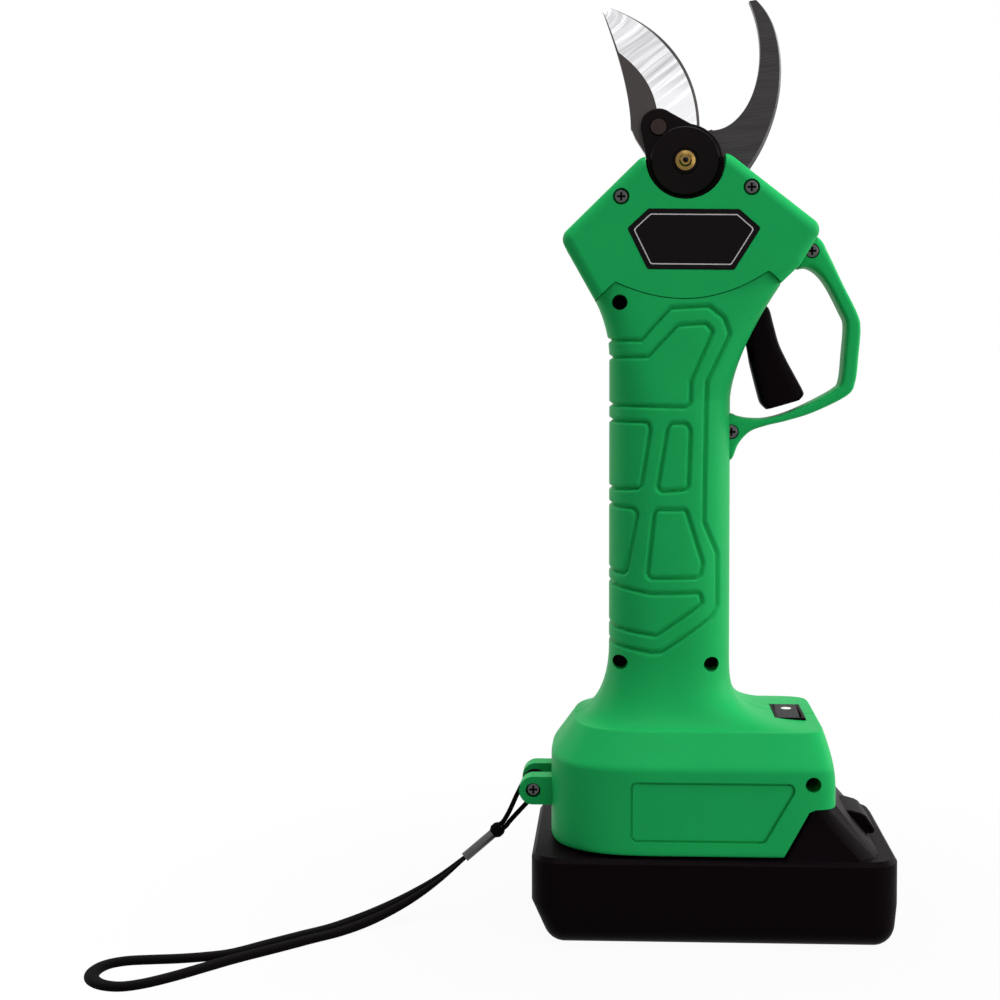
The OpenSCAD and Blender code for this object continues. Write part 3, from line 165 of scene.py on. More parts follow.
# Rows of the shells' loft: the lip's and the shoulder's height and tuck, the rest by their counts
FOOT_LIP = [(0, 0.8), (0.3, 0.25), (0.8, 0)]
FOOT_SHOULDER = [(0.5, 0), (0.2, 0), (0.05, 0.1)]
FLARE_ANGLES = (0.6, 1.2, 2, *np.linspace(3, 88, 44))
FOOT_ROWS, HANDLE_ROWS, SECTION_POINTS, SEAT_POINTS = 60, 300, 191, 61

# How far the cutting shapes reach out of the part, past its middle plane and past a face
OUT, PAST, OVERCUT = 60, 2, 1
BORE_REACH, TAB_REACH, LUG_REACH = 9, 12, 20
SEAM_STEPS = np.linspace(-OUT, 90, 151)
OVER, UNDER_HEAD, UNDER_FOOT = 260, 150, 20

# Grip outlines on the handle, in X and Z; the open ones run round the strap side to the other half
GRIP_LINES = {
    "border": [
        (-34, 191.8), (-9.7, 191.3), (-0.3, 201.7), (12.0, 202.3), (16.9, 198.4), (18.8, 193.2),
        (11.5, 178.0), (11.0, 152.1), (10.7, 132.7), (15.3, 122.3), (15.3, 105.2), (13.5, 101.9),
        (-2.9, 90.9), (-6.4, 90.6), (-34, 94.6)],
    "top_pad": [
        (-34, 185.8), (-7.4, 186.1), (2.0, 196.2), (11.0, 196.8), (13.3, 194.2), (6.2, 178.0),
        (6.2, 171.2), (4.9, 169.9), (-34, 170.8)],
    "upper_left_pad": [
        (-34, 165.6), (-7.4, 165.1), (-6.8, 162.5), (-8.4, 152.1), (-9.8, 143.7), (-34, 142.0)],
    "upper_right_pad": [
        (-0.3, 164.7), (4.9, 164.7), (6.2, 162.5), (5.5, 143.4), (-4.6, 142.6), (-1.3, 162.5)],
    "lower_left_pad": [(-34, 138.4), (-11.9, 137.2), (-10.8, 135.3), (-14.5, 115.8), (-34, 116.4)],
    "lower_right_pad": [
        (-4.8, 136.9), (4.9, 136.9), (5.9, 133.3), (10.4, 119.4), (9.4, 114.9), (-7.7, 114.6),
        (-5.5, 135.3)],
    "bottom_pad": [
        (-34, 114.4), (-6.4, 109.7), (9.4, 110.0), (10.4, 106.5), (-4.8, 96.1), (-34, 100.0)],
}

# Strap route in millimetres, as the part's source has it
KNOT_START = np.array([-56, -2.5, 28.5])
CRIMP_END = np.array([-68, -6.5, 19.0])
KNOT_RUN, CORD_GAP = 1.5, 0.1
CORD_D = 1.6
TAPE_W, TAPE_T, TAPE_GAP = 4.4, 2.4, 0.25
STRAP_SQUARE = 2.6
LUG_SLEEVE_R = 2.4
CORD_DOWN = [(-53.4, -1.6, 33.4), (-50.8, -0.8, 39)]
CORD_TURN = (150, 125, 100, 75, 50, 25, 0, -25, -45)
CORD_BACK = [(-46, -0.5, 37.7), (-50, -1.2, 33.6), (-53, -1.8, 30.4)]
TAPE_LIFT = TAPE_T / 2 + 0.05
TAPE_DOUBLED = [
    (-76, -9.4, 13), (-84, -12.6, 8.3), (-92, -16.6, 4.8), (-100, -21.6, 2.4),
    (-108, -28, TAPE_LIFT), (-116, -35.2, TAPE_LIFT), (-125, -43.6, TAPE_LIFT)]
TAPE_LOOP = [
    (-136, -50.5), (-144, -54), (-152, -56), (-160, -57.2), (-167, -58.6), (-172, -62),
    (-174, -67.6), (-173, -73.4), (-169, -78), (-163, -79.6), (-156.6, -77), (-149, -70.6),
    (-141, -62.2), (-134, -55)]
TAPE_SWELL = [0.32, 0.55, 0.78, 0.92, 1, 1, 1, 1]

# Grinding marks on the blade's bevel: their lean, how many lie across and along it, and how clear
# it is of them from root to tip, where the clear bevel is painted lighter as a painted highlight
BEVEL_LEAN, BEVEL_MARKS = -0.8, ((1.2, 26), (6, 150))
BEVEL_PAINTED_HIGHLIGHT = ((0, 0.62), (0.22, 0.62), (0.45, 0.0), (0.78, 0.0), (0.95, 0.5))

# Each lamp's name, place, target and size in metres, and its power in watts
LAMPS = (
    ("overhead", (0.1, -0.15, 1.35), (0, 0, 0.1), (1.2, 1.2), 20),
    ("front", (0.36, -0.95, 0.62), (0, 0, 0.26), (0.4, 0.85), 0.3),
    ("key", (0.85, -0.55, 0.35), (0, 0, 0.2), (0.7, 0.7), 4.0),
    ("right", (1.0, 0.35, 0.4), (0, 0, 0.14), (0.7, 0.7), 7),
    ("left", (-1.0, 0.45, 0.4), (0, 0, 0.14), (0.7, 0.7), 3.2))
FLOOR_SIZE, FLOOR_WHITE, FLOOR_FADE = 6.0, (0.95, 1.0), (0.08, 0.2)
SCATTERED, WHITE = 0.1, 1.0
CAMERA_PLACE, CAMERA_TURN = (-0.0159, -0.5599, 0.1842), (87.97, 0, 2.44)
CAMERA_LENS, CAMERA_SENSOR, CAMERA_SHIFT = 60.42, 36, (-0.05, -0.078)
CAMERA_CLIP = (0.01, 50)


def colour(name, description, value):
    return bpy.props.FloatVectorProperty(
        name=name, description=description, subtype="COLOR", size=3, min=0, max=1, default=value)


def distance(name, description, value):
    return bpy.props.FloatProperty(
        name=name, description=description, subtype="DISTANCE", default=value)


class PrunerColours(bpy.types.PropertyGroup):
    """Colours of the finishes"""
    green: colour("Green", "Moulded shells and guard", (0.013, 0.405, 0.102))
    black: colour("Black", "Battery, trigger and switch", (0.0030, 0.0014, 0.0022))
    drive: colour("Drive disc", "Blackened drive disc", (0.0045, 0.0024, 0.0028))
    polished: colour("Polished steel", "Ground bevel of the blade", (0.62, 0.62, 0.635))
    dark_steel: colour("Dark steel", "Hook and dark screws", (0.044, 0.041, 0.043))
    blued: colour("Blued steel", "Flat and root of the moving blade", (0.058, 0.052, 0.051))
    brass: colour("Brass", "Grease nipple", (0.21, 0.13, 0.038))
    webbing: colour("Webbing", "Wrist strap", (0.0030, 0.0022, 0.0026))


class PrunerSizes(bpy.types.PropertyGroup):
    """Sizes of the surface detail"""
    groove_width: distance("Groove width", "Half width of a grip groove", 0.0011)
    groove_depth: distance("Groove depth", "Depth of a grip groove", 0.0012)
    groove_corner: distance("Groove corner", "Corner radius of a grip pad", 0.0016)
    parting_depth: distance(
        "Parting line", "Depth of the line where the shell halves meet", 0.0002)
    border_width: distance("Badge border", "Width of the silver line on the badge", 0.00035)


# Curves and sections

def ramp(x, r):
    """The part of x above nought, with a rounded start."""
    if x < -r:
        return 0.0
    return (x + r) ** 2 / (4 * r) if x < r else x


def foot_row(z, tuck=0.0):
    """Height, left, right, depth and squareness of the foot's section."""
    slope = ramp(z - SHOULDER_Z, CREASE) / (FOOT_TOP_Z - SHOULDER_Z)
    end = (ramp(z - FOOT_END_Z, CREASE) / (FOOT_TOP_Z - FOOT_END_Z)) ** END_BULGE
    return (z, FOOT_LEFT - tuck - slope * (FOOT_LEFT - FOOT_TOP_LEFT),
            FOOT_RIGHT - tuck - end * (FOOT_RIGHT - FOOT_TOP_RIGHT),
            FOOT_HALF - tuck - slope * (FOOT_HALF - FOOT_TOP_HALF), LEFT_SQUARE, RIGHT_SQUARE)


def flare_row(angle):
    s = 1 - math.sin(math.radians(angle))
    t = s ** FLARE_REACH
    return (FOOT_TOP_Z + FLARE_H * (1 - math.cos(math.radians(angle))),
            HANDLE_W + (FOOT_TOP_LEFT - HANDLE_W) * s, HANDLE_W + (FOOT_TOP_RIGHT - HANDLE_W) * t,
            HANDLE_D + (FOOT_TOP_HALF - HANDLE_D) * s,
            HANDLE_SQUARE + (LEFT_SQUARE - HANDLE_SQUARE) * s,
            HANDLE_SQUARE + (RIGHT_SQUARE - HANDLE_SQUARE) * t)


def handle_row(z):
    left = max(0.0, z - NECK_LEFT_Z) / (SEAM_Z - NECK_LEFT_Z)
    right = max(0.0, z - NECK_RIGHT_Z) / (SEAM_Z - NECK_RIGHT_Z)
    q = min(1.0, right)
    square = HANDLE_SQUARE + (NECK_SQUARE - HANDLE_SQUARE) * q
    return (z, HANDLE_W + NECK_LEFT_W * left ** NECK_LEFT_BEND,
            HANDLE_W + NECK_RIGHT_W * right ** NECK_RIGHT_BEND,
            HANDLE_D + (HEAD_HALF - HANDLE_D) * q, square, square)


def seam_at(x):
    if x < SEAM_LEFT[0]:
        return SEAM_LEFT[1] - SEAM_FALL * (SEAM_LEFT[0] - x)
    if x > SEAM_RIGHT[0]:
        return SEAM_RIGHT[1] - SEAM_FALL * (x - SEAM_RIGHT[0])
    peak = SEAM_LEFT if x < SEAM_LOW_X else SEAM_RIGHT
    return SEAM_Z + (peak[1] - SEAM_Z) * ((x - SEAM_LOW_X) / (peak[0] - SEAM_LOW_X)) ** 2


def seam_line(lift):
    return [(x, seam_at(x) + lift) for x in SEAM_STEPS]


def unit(v):
    return v / np.linalg.norm(v, axis=-1, keepdims=True)


def even_points(line, count):
    """The line's points, spread evenly along its length."""
    steps = np.linalg.norm(np.diff(line, axis=0), axis=1)
    along = np.concatenate([[0], np.cumsum(steps)])
    wanted = np.linspace(0, along[-1], count)
    return np.stack([np.interp(wanted, along, line[:, k]) for k in range(line.shape[1])], axis=1)


def half_section(row, count):
    """The front half of a squared oval, at one height."""
    z, left, right, depth, n_left, n_right = row
    t = np.radians(np.linspace(180, 360, 1441))
    c, s = np.cos(t), np.abs(np.sin(t))
    power = np.where(c < 0, 2 / n_left, 2 / n_right)
    x = np.where(c < 0, -left, right) * np.abs(c) ** power
    y = -depth * s ** power
    y[0] = y[-1] = 0
    flat = even_points(np.stack([x, y], axis=1), count)
    return np.column_stack([flat, np.full(count, z)])


def at_depth(line, y):
    """A line in X and Z, set at its depth."""
    return np.column_stack([line[:, 0], np.broadcast_to(y, len(line)), line[:, 1]])


def squared_circle(count, n):
    """Cosine and sine round a circle that the power n squares off."""
    a = np.radians(np.linspace(0, 360, count))
    return [np.sign(w) * np.abs(w) ** (2 / n) for w in (np.cos(a), np.sin(a))]


def bezier(p, t):
    p = np.array(p, dtype=float)
    t = np.asarray(t)[:, None]
    return ((1 - t) ** 3 * p[0] + 3 * t * (1 - t) ** 2 * p[1]
            + 3 * t * t * (1 - t) * p[2] + t ** 3 * p[3])


def smooth_line(points, per_span):
    """A rounded line through the points."""
    p = np.array(points, dtype=float)
    p = np.vstack([2 * p[0] - p[1], p, 2 * p[-1] - p[-2]])
    out = []
    for a, b, c, d in zip(p, p[1:], p[2:], p[3:]):
        for t in np.arange(per_span) / per_span:
            out.append(0.5 * (2 * b + (c - a) * t + (2 * a - 5 * b + 4 * c - d) * t ** 2
                              + (3 * b - a - 3 * c + d) * t ** 3))
    out.append(p[-2])
    return np.array(out)


def inset_outline(outline, d):
    """The anticlockwise outline, moved inwards."""
    p = np.array(outline, dtype=float)
    u, v = unit(p - np.roll(p, 1, axis=0)), unit(np.roll(p, -1, axis=0) - p)
    a, b = np.stack([-u[:, 1], u[:, 0]], 1), np.stack([-v[:, 1], v[:, 0]], 1)
    return p + (a + b) * d / (1 + np.sum(a * b, axis=1))[:, None]


def line_distance(x, z, outline, corner):
    """Distance of each point from the rounded closed outline, negative inside."""
    p = np.array(outline, dtype=float)
    if np.sum(p[:, 0] * np.roll(p[:, 1], -1) - np.roll(p[:, 0], -1) * p[:, 1]) < 0:
        p = p[::-1]
    p = inset_outline(p, corner)
    near = np.full(x.shape, 1e9)
    inside = np.zeros(x.shape, dtype=bool)
    for (x0, z0), (x1, z1) in zip(p, np.roll(p, -1, axis=0)):
        ex, ez = x1 - x0, z1 - z0
        k = np.clip(((x - x0) * ex + (z - z0) * ez) / (ex * ex + ez * ez), 0, 1)
        near = np.minimum(near, np.hypot(x - x0 - k * ex, z - z0 - k * ez))
        rise = ez if abs(ez) > 1e-9 else 1e-9
        inside ^= ((z0 > z) != (z1 > z)) & (x < ex * (z - z0) / rise + x0)
    return np.where(inside, -near, near) - corner


def round_outline(core, r, steps=8):
    """A line at the distance r round the anticlockwise core, with an arc at each corner."""
    points = []
    for before, here, after in zip(np.roll(core, 1, axis=0), core, np.roll(core, -1, axis=0)):
        u, v = here - before, after - here
        start, end = math.atan2(-u[0], u[1]), math.atan2(-v[0], v[1])
        turn = (end - start) % (2 * math.pi)
        points += [here + r * np.array([math.cos(a), math.sin(a)])
                   for a in start + turn * np.linspace(0, 1, steps)]
    return np.array(points)


# Mesh making

def loft(points, close=False, caps=False, ground=None):
    """A grid through rows of points; the ground column of faces gets the second material."""
    rows, cols = points.shape[:2]
    bm = bmesh.new()
    bm.loops.layers.uv.new("UVMap")
    bmesh.ops.create_grid(bm, x_segments=cols - 1, y_segments=rows - 1, size=1.0, calc_uvs=True)
    bm.verts.ensure_lookup_table()
    for vert, place in zip(bm.verts, points.reshape(-1, 3)):
        vert.co = Vector(place) * MM
    if ground is not None:
        for face in bm.faces:
            columns = {vert.index % cols for vert in face.verts}
            face.material_index = int(columns == {ground, ground + 1})
    if caps:
        for row in (0, rows - 1):
            bm.faces.new([bm.verts[row * cols + k] for k in range(cols - 1 if close else cols)])
    if close:
        bmesh.ops.remove_doubles(bm, verts=bm.verts, dist=1e-7)
    bmesh.ops.recalc_face_normals(bm, faces=bm.faces)
    return bm


def drawn_out(corners, way):
    """A flat outline, drawn out along the way."""
    bm = bmesh.new()
    face = bm.faces.new([bm.verts.new([k * MM for k in corner]) for corner in corners])
    side = bmesh.ops.extrude_face_region(bm, geom=[face])
    moved = [item for item in side["geom"] if isinstance(item, bmesh.types.BMVert)]
    bmesh.ops.translate(bm, verts=moved, vec=[k * MM for k in way])
    bmesh.ops.recalc_face_normals(bm, faces=bm.faces)
    return bm


def plate(outline, y0, y1):
    """A flat outline in X and Z, drawn out along Y."""
    return drawn_out([(x, y0, z) for x, z in outline], (0, y1 - y0, 0))


def tower(plan, z0, z1):
    """A flat outline in X and Y, drawn up along Z."""
    return drawn_out([(x, y, z0) for x, y in plan], (0, 0, z1 - z0))


def disc(x, z, r, y0, y1, segments=48):
    """A round bar along Y."""
    bm = bmesh.new()
    bmesh.ops.create_cone(bm, cap_ends=True, segments=segments, radius1=r * MM, radius2=r * MM,
                          depth=(y1 - y0) * MM)
    bmesh.ops.rotate(bm, verts=bm.verts, matrix=Matrix.Rotation(math.radians(90), 3, "X"))
    bmesh.ops.translate(bm, verts=bm.verts, vec=(x * MM, (y0 + y1) / 2 * MM, z * MM))
    return bm


def block(low, high):
    bm = bmesh.new()
    bmesh.ops.create_cube(bm, size=1.0)
    bmesh.ops.scale(bm, verts=bm.verts, vec=[(b - a) * MM for a, b in zip(low, high)])
    bmesh.ops.translate(bm, verts=bm.verts, vec=[(a + b) / 2 * MM for a, b in zip(low, high)])
    return bm


def mesh_copy(mesh):
    bm = bmesh.new()
    bm.from_mesh(mesh)
    return bm


def node_copy(name):
    """The CAD node's surface with its loose triangles joined."""
    bm = mesh_copy(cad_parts[name].data)
    bmesh.ops.remove_doubles(bm, verts=bm.verts, dist=2e-6)
    bmesh.ops.dissolve_degenerate(bm, edges=bm.edges, dist=1e-6)
    bmesh.ops.dissolve_limit(bm, angle_limit=math.radians(0.5), verts=bm.verts, edges=bm.edges)
    return bm


def add_mesh(bm, other):
    """Puts a second mesh into the first."""
    mesh = bpy.data.meshes.new("part")
    other.to_mesh(mesh)
    other.free()
    bm.from_mesh(mesh)
    bpy.data.meshes.remove(mesh)


def new_object(name, bm):
    mesh = bpy.data.meshes.new(name)
    bm.to_mesh(mesh)
    bm.free()
    obj = bpy.data.objects.new(name, mesh)
    bpy.context.scene.collection.objects.link(obj)
    return obj


def take_mesh(obj):
    """The object's mesh, with the object itself removed."""
    bm = mesh_copy(obj.data)
    bpy.data.objects.remove(obj)
    return bm


def carve(obj, cutter, operation="DIFFERENCE"):
    """Applies one boolean cut and removes the cutter."""
    tool = new_object("cutter", cutter)
    for piece in (obj, tool):
        if not piece.data.materials:
            piece.data.materials.append(None)
            piece.data.materials.append(None)
    cut = obj.modifiers.new("carve", "BOOLEAN")
    cut.object, cut.operation, cut.solver = tool, operation, "MANIFOLD"
    depsgraph = bpy.context.evaluated_depsgraph_get()
    shaped = bpy.data.meshes.new_from_object(obj.evaluated_get(depsgraph))
    obj.modifiers.clear()
    spent = obj.data, tool.data
    obj.data = shaped
    bpy.data.objects.remove(tool)
    for mesh in spent:
        bpy.data.meshes.remove(mesh)


def mirror_y(obj):
    bm = mesh_copy(obj.data)
    bmesh.ops.scale(bm, verts=bm.verts, vec=(1, -1, 1))
    bmesh.ops.reverse_faces(bm, faces=bm.faces)
    bm.to_mesh(obj.data)
    bm.free()


def smooth_faces(bm, angle):
    """Shades the faces smooth and keeps the edges that turn more than the angle."""
    for face in bm.faces:
        face.smooth = True
    for edge in bm.edges:
        turn = edge.calc_face_angle(0.0)
        edge.smooth = len(edge.link_faces) == 2 and turn < math.radians(angle)


def even_shading(obj):
    obj.modifiers.new("even shading", "WEIGHTED_NORMAL").keep_sharp = True


def reshade(obj, angle):
    bm = mesh_copy(obj.data)
    smooth_faces(bm, angle)
    bm.to_mesh(obj.data)
    bm.free()
    even_shading(obj)


def finish_piece(obj, body, slot, materials, *nodes):
    """Puts the materials on, joins the piece to its body and hides the CAD nodes it stands for."""
    index = np.zeros(len(obj.data.polygons), dtype=np.int32)
    obj.data.polygons.foreach_get("material_index", index)
    obj.data.materials.clear()
    for material in materials:
        obj.data.materials.append(material)
    obj.data.polygons.foreach_set("material_index", np.minimum(index, len(materials) - 1))
    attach(obj, body)
    if nodes:
        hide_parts(*nodes)
    return obj


def smooth_copy(name, angle):
    """A smooth-shaded copy of a CAD node."""
    bm = node_copy(name)
    smooth_faces(bm, angle)
    return new_object(name + "_skin", bm)


def dress_copy(name, body, slot, material, angle=30):
    """Stands a smooth-shaded copy in for a CAD node."""
    obj = smooth_copy(name, angle)
    even_shading(obj)
    return finish_piece(obj, body, slot, [material], name)


def soft_copy(name, body, slot, material, width, angle=None):
    """Stands a copy with rounded edges in for a CAD node."""
    obj = smooth_copy(name, 30)
    bevel = obj.modifiers.new("soft edges", "BEVEL")
    bevel.width, bevel.segments, bevel.limit_method = width * MM, 3, "ANGLE"
    if angle:
        bevel.angle_limit = math.radians(angle)
    return finish_piece(obj, body, slot, [material], name)


def dress_nodes(finish, names):
    """Gives CAD nodes that stay their material."""
    for name in names:
        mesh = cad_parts[name].data
        mesh.materials.clear()
        mesh.materials.append(finish)


# Materials

def feed(tree, node, inputs):
    """Sets each input to its value, or links it to another node's output."""
    for key, value in inputs.items():
        if isinstance(value, bpy.types.NodeSocket):
            tree.links.new(value, node.inputs[key])
        else:
            node.inputs[key].default_value = value


def add(tree, kind, inputs, **settings):
    node = tree.nodes.new("ShaderNode" + kind)
    for key, value in settings.items():
        setattr(node, key, value)
    feed(tree, node, inputs)
    return node


def coordinates(tree, kind):
    return add(tree, "TexCoord", {}).outputs[kind]


def mapped(tree, inputs, **settings):
    return add(tree, "Mapping", inputs, **settings).outputs["Vector"]


def noise(tree, vector, scale, detail):
    inputs = {"Scale": scale, "Detail": detail, "Vector": vector}
    return add(tree, "TexNoise", inputs).outputs["Fac"]


def maths(tree, operation, *values):
    return add(tree, "Math", dict(enumerate(values)), operation=operation).outputs["Value"]


def spread(tree, value, low, high, start=0.3, end=0.7):
    """The value's span from start to end, spread from low to high."""
    inputs = {"From Min": start, "From Max": end, "To Min": low, "To Max": high, "Value": value}
    return add(tree, "MapRange", inputs).outputs["Result"]


def tint(tree, value, colour, change):
    """The colour, darker where the value is low and lighter where it is high."""
    dark, light = [(*[min(1, c * k) for c in colour], 1) for k in (1 - change, 1 + change)]
    mix = add(tree, "Mix", {"A": dark, "B": light, "Factor": value}, data_type="RGBA")
    return mix.outputs["Result"]


def bumped(tree, shader, value, strength, deep):
    bump = add(tree, "Bump", {"Strength": strength, "Distance": deep, "Height": value})
    feed(tree, shader, {"Normal": bump.outputs["Normal"]})


def kept(make):
    """Gives the material of that name back, or makes it the first time."""
    def find(name, *values):
        material = bpy.data.materials.get(name)
        if not material:
            material = bpy.data.materials.new(name)
            material.use_nodes = True
            make(material.node_tree, material.node_tree.nodes["Principled BSDF"], *values)
        return material
    return find


@kept
def moulded_plastic(tree, shader, colour, rough, grain, strength, shine=0.3):
    """Injection-moulded plastic with a fine spark-eroded grain."""
    place = coordinates(tree, "Object")
    fine = noise(tree, place, grain, 2)
    feed(tree, shader, {
        "Base Color": tint(tree, noise(tree, place, 60, 3), colour, 0.06),
        "Roughness": spread(tree, fine, rough - 0.05, rough + 0.07),
        "Specular IOR Level": shine})
    bumped(tree, shader, fine, strength, 0.0002)


@kept
def ground_steel(tree, shader, colour, rough, along, fine, change):
    """Steel with grinding marks that run along one direction of X and Z."""
    marks = noise(tree, mapped(tree, {
        "Rotation": (0, math.radians(along), 0), "Scale": (1 / fine, 1 / fine, 30 / fine),
        "Vector": coordinates(tree, "Object")}, vector_type="TEXTURE"), 1, 4)
    feed(tree, shader, {
        "Base Color": tint(tree, marks, colour, change), "Metallic": 1,
        "Roughness": spread(tree, marks, rough * 0.75, rough * 1.3)})
    bumped(tree, shader, marks, 0.2, 0.0002)


@kept
def hollow_ground(tree, shader, colour, rough):
    """Bright bevel with leaning grinding marks, clearest in the middle, and a painted highlight
    that lightens it towards root and tip, on the blade's UV map.
    """
    parts = add(tree, "SeparateXYZ", {"Vector": coordinates(tree, "UV")}).outputs
    lean = maths(tree, "MULTIPLY_ADD", parts["X"], BEVEL_LEAN, parts["Y"])
    uv = add(tree, "CombineXYZ", {"X": parts["X"], "Y": lean}).outputs["Vector"]
    coarse, fine = [noise(tree, mapped(tree, {"Scale": (*scale, 1), "Vector": uv}), 1, 2)
                    for scale in BEVEL_MARKS]
    marks = add(tree, "Mix", {"Factor": 0.25, "A": coarse, "B": fine}).outputs["Result"]
    # Painted highlight: this ramp paints the bevel lighter at root and tip, where it is also clear
    # of marks
    clear = add(tree, "ValToRGB", {"Fac": parts["Y"]})
    steps = clear.color_ramp.elements
    steps.remove(steps[1])
    for place, level in BEVEL_PAINTED_HIGHLIGHT:
        step = steps.new(place) if place else steps[0]
        step.color = (level, level, level, 1)
    band = maths(tree, "MAXIMUM", spread(tree, marks, 0.0, 1.0), clear.outputs["Color"])
    feed(tree, shader, {
        "Base Color": tint(tree, band, colour, 0.5), "Metallic": 1,
        "Roughness": spread(tree, marks, rough * 0.7, rough * 1.4)})
    bumped(tree, shader, marks, 0.12, 0.0006)


@kept
def plain_metal(tree, shader, colour, rough):
    """Turned or cast metal with a faint mottled sheen."""
    cloud = noise(tree, coordinates(tree, "Object"), 900, 3)
    feed(tree, shader, {
        "Base Color": tint(tree, cloud, colour, 0.1), "Metallic": 1,
        "Roughness": spread(tree, cloud, rough * 0.8, rough * 1.25)})
    bumped(tree, shader, cloud, 0.1, 0.0002)


@kept
def woven(tree, shader, colour, threads_across, threads_along):
    """Woven tape or braided cord: crossing threads on the piece's own UV map."""
    place = mapped(tree, {
        "Scale": (threads_across, threads_along, 1), "Vector": coordinates(tree, "UV")})
    waves = [add(tree, "TexWave", {"Scale": 0.5, "Vector": place}, bands_direction=way)
             for way in ("X", "Y")]
    weave = maths(tree, "MULTIPLY", *[wave.outputs["Fac"] for wave in waves])
    feed(tree, shader, {
        "Base Color": tint(tree, weave, colour, 0.3), "Roughness": 0.75,
        "Specular IOR Level": 0.015, "Sheen Weight": 0.02, "Sheen Roughness": 0.5})
    bumped(tree, shader, weave, 0.3, 0.0003)


def looked_at(tree):
    """One for a ray from the camera, a reflection or a clear piece, nought for scattered light."""
    path = add(tree, "LightPath", {}).outputs
    total = path["Is Camera Ray"]
    for ray in ("Is Glossy Ray", "Is Transmission Ray"):
        total = maths(tree, "MAXIMUM", total, path[ray])
    return total


@kept
def pale_floor(tree, shader):
    """Floor that shows a pale shade near the pruner and turns to plain white further out."""
    feed(tree, shader, {
        "Base Color": (0.4, 0.4, 0.4, 1), "Roughness": 0.9, "Specular IOR Level": 0})
    glow = add(tree, "Emission", {"Strength": WHITE})
    away = add(tree, "VectorMath", {0: coordinates(tree, "Object")}, operation="LENGTH")
    share = spread(tree, away.outputs["Value"], *FLOOR_WHITE, *FLOOR_FADE)
    mix = add(tree, "MixShader", {
        "Fac": maths(tree, "MULTIPLY", share, looked_at(tree)),
        1: shader.outputs["BSDF"], 2: glow.outputs["Emission"]})
    feed(tree, tree.nodes["Material Output"], {"Surface": mix.outputs["Shader"]})


def finishes():
    """Each finish by its short name.

    Plastics have a colour, roughness, grain, depth of grain and shine. Ground steels have a colour,
    roughness, direction, fineness and contrast. Other metals have a colour and a roughness, and
    woven pieces a colour and their threads across and along.
    """
    c = bpy.context.scene.pruner_colours
    return {
        "green": moulded_plastic("green moulding", c.green, 0.42, 2600, 0.12, 0.035),
        "black": moulded_plastic("black moulding", c.black, 0.42, 1800, 0.3, 0.02),
        "drive": moulded_plastic("blackened disc", c.drive, 0.32, 1500, 0.25, 0.055),
        "gloss": moulded_plastic("badge black", c.black, 0.25, 2600, 0.05, 0.07),
        # Painted shade: near-black for the screws' cross recesses and for the housing screws deep
        # in their wells
        "oxide": moulded_plastic("black oxide", c.black, 0.5, 1500, 0.1, 0.04),
        "pin": plain_metal("pin steel", (0.03, 0.022, 0.02), 0.4),
        "plated": plain_metal("plated screw", (0.075, 0.075, 0.077), 0.28),
        "silver": moulded_plastic("silver print", (0.55, 0.53, 0.54), 0.4, 1500, 0.05),
        "polished": hollow_ground("ground bevel", c.polished, 0.2),
        "dark_steel": ground_steel("brushed hook steel", c.dark_steel, 0.36, 82, 2200, 0.5),
        "blued": ground_steel("blued blade steel", c.blued, 0.36, 20, 2600, 0.1),
        "steel": plain_metal("bright steel", (0.36, 0.36, 0.37), 0.26),
        "screw": plain_metal("screw steel", c.dark_steel, 0.35),
        "brass": plain_metal("turned brass", c.brass, 0.3),
        "cast": plain_metal("cast case", (0.2, 0.2, 0.205), 0.5),
        "webbing": woven("strap webbing", c.webbing, 14, 190),
        "braid": woven("strap braid", c.webbing, 8, 40),
        "board": moulded_plastic("circuit board", (0.02, 0.13, 0.05), 0.5, 900, 0.2),
        "cell": moulded_plastic("cell sleeve", (0.08, 0.22, 0.5), 0.35, 900, 0.05),
        "white": moulded_plastic("white print", (0.85, 0.85, 0.83), 0.5, 1500, 0.05),
        "red": moulded_plastic("red print", (0.55, 0.03, 0.04), 0.5, 1500, 0.05),
    }


# Shared forms

def head_solid(back, shrink, r):
    """The head's front half as a solid with rounded edges, shrunk all round."""
    core = inset_outline(HEAD_OUTLINE, shrink + r)
    depth = HEAD_HALF - shrink - r
    turns = np.radians(np.linspace(0, 89, 10))
    rings = [(r, back)] + [(r * math.cos(a), -depth - r * math.sin(a)) for a in turns]
    points = []
    for radius, y in rings:
        line = round_outline(core, radius, 7)
        points.append(at_depth(np.vstack([line, line[:1]]), y))
    return loft(np.array(points), close=True, caps=True)


def seam_rim():
    """The shell's thin rim that stands up inside the head cover and closes the seam."""
    obj = new_object("rim", head_solid(-0.05, WALL + FIT_GAP, 2))
    carve(obj, head_solid(1, WALL + FIT_GAP + RIM_T, 1))
    band = seam_line(-RIM_FOOT) + seam_line(RIM_H)[::-1]
    carve(obj, plate(band, -OUT, PAST), "INTERSECT")
    return take_mesh(obj)


def guard_tab(grow):
    """The guard's upper tab, which lies along the head's sloping edge."""
    bm = block((-grow, -GUARD_HALF - grow, GUARD_TAB_LOW - grow),
               (GUARD_TAB_L + grow, GUARD_HALF + grow, GUARD_TAB_HIGH + grow))
    angle = math.atan2(GUARD_EDGE[1], GUARD_EDGE[0])
    bmesh.ops.rotate(bm, verts=bm.verts, matrix=Matrix.Rotation(-angle, 3, "Y"))
    bmesh.ops.translate(bm, verts=bm.verts, vec=(HEAD_MID_R[0] * MM, 0, HEAD_MID_R[1] * MM))
    return bm


# Operators

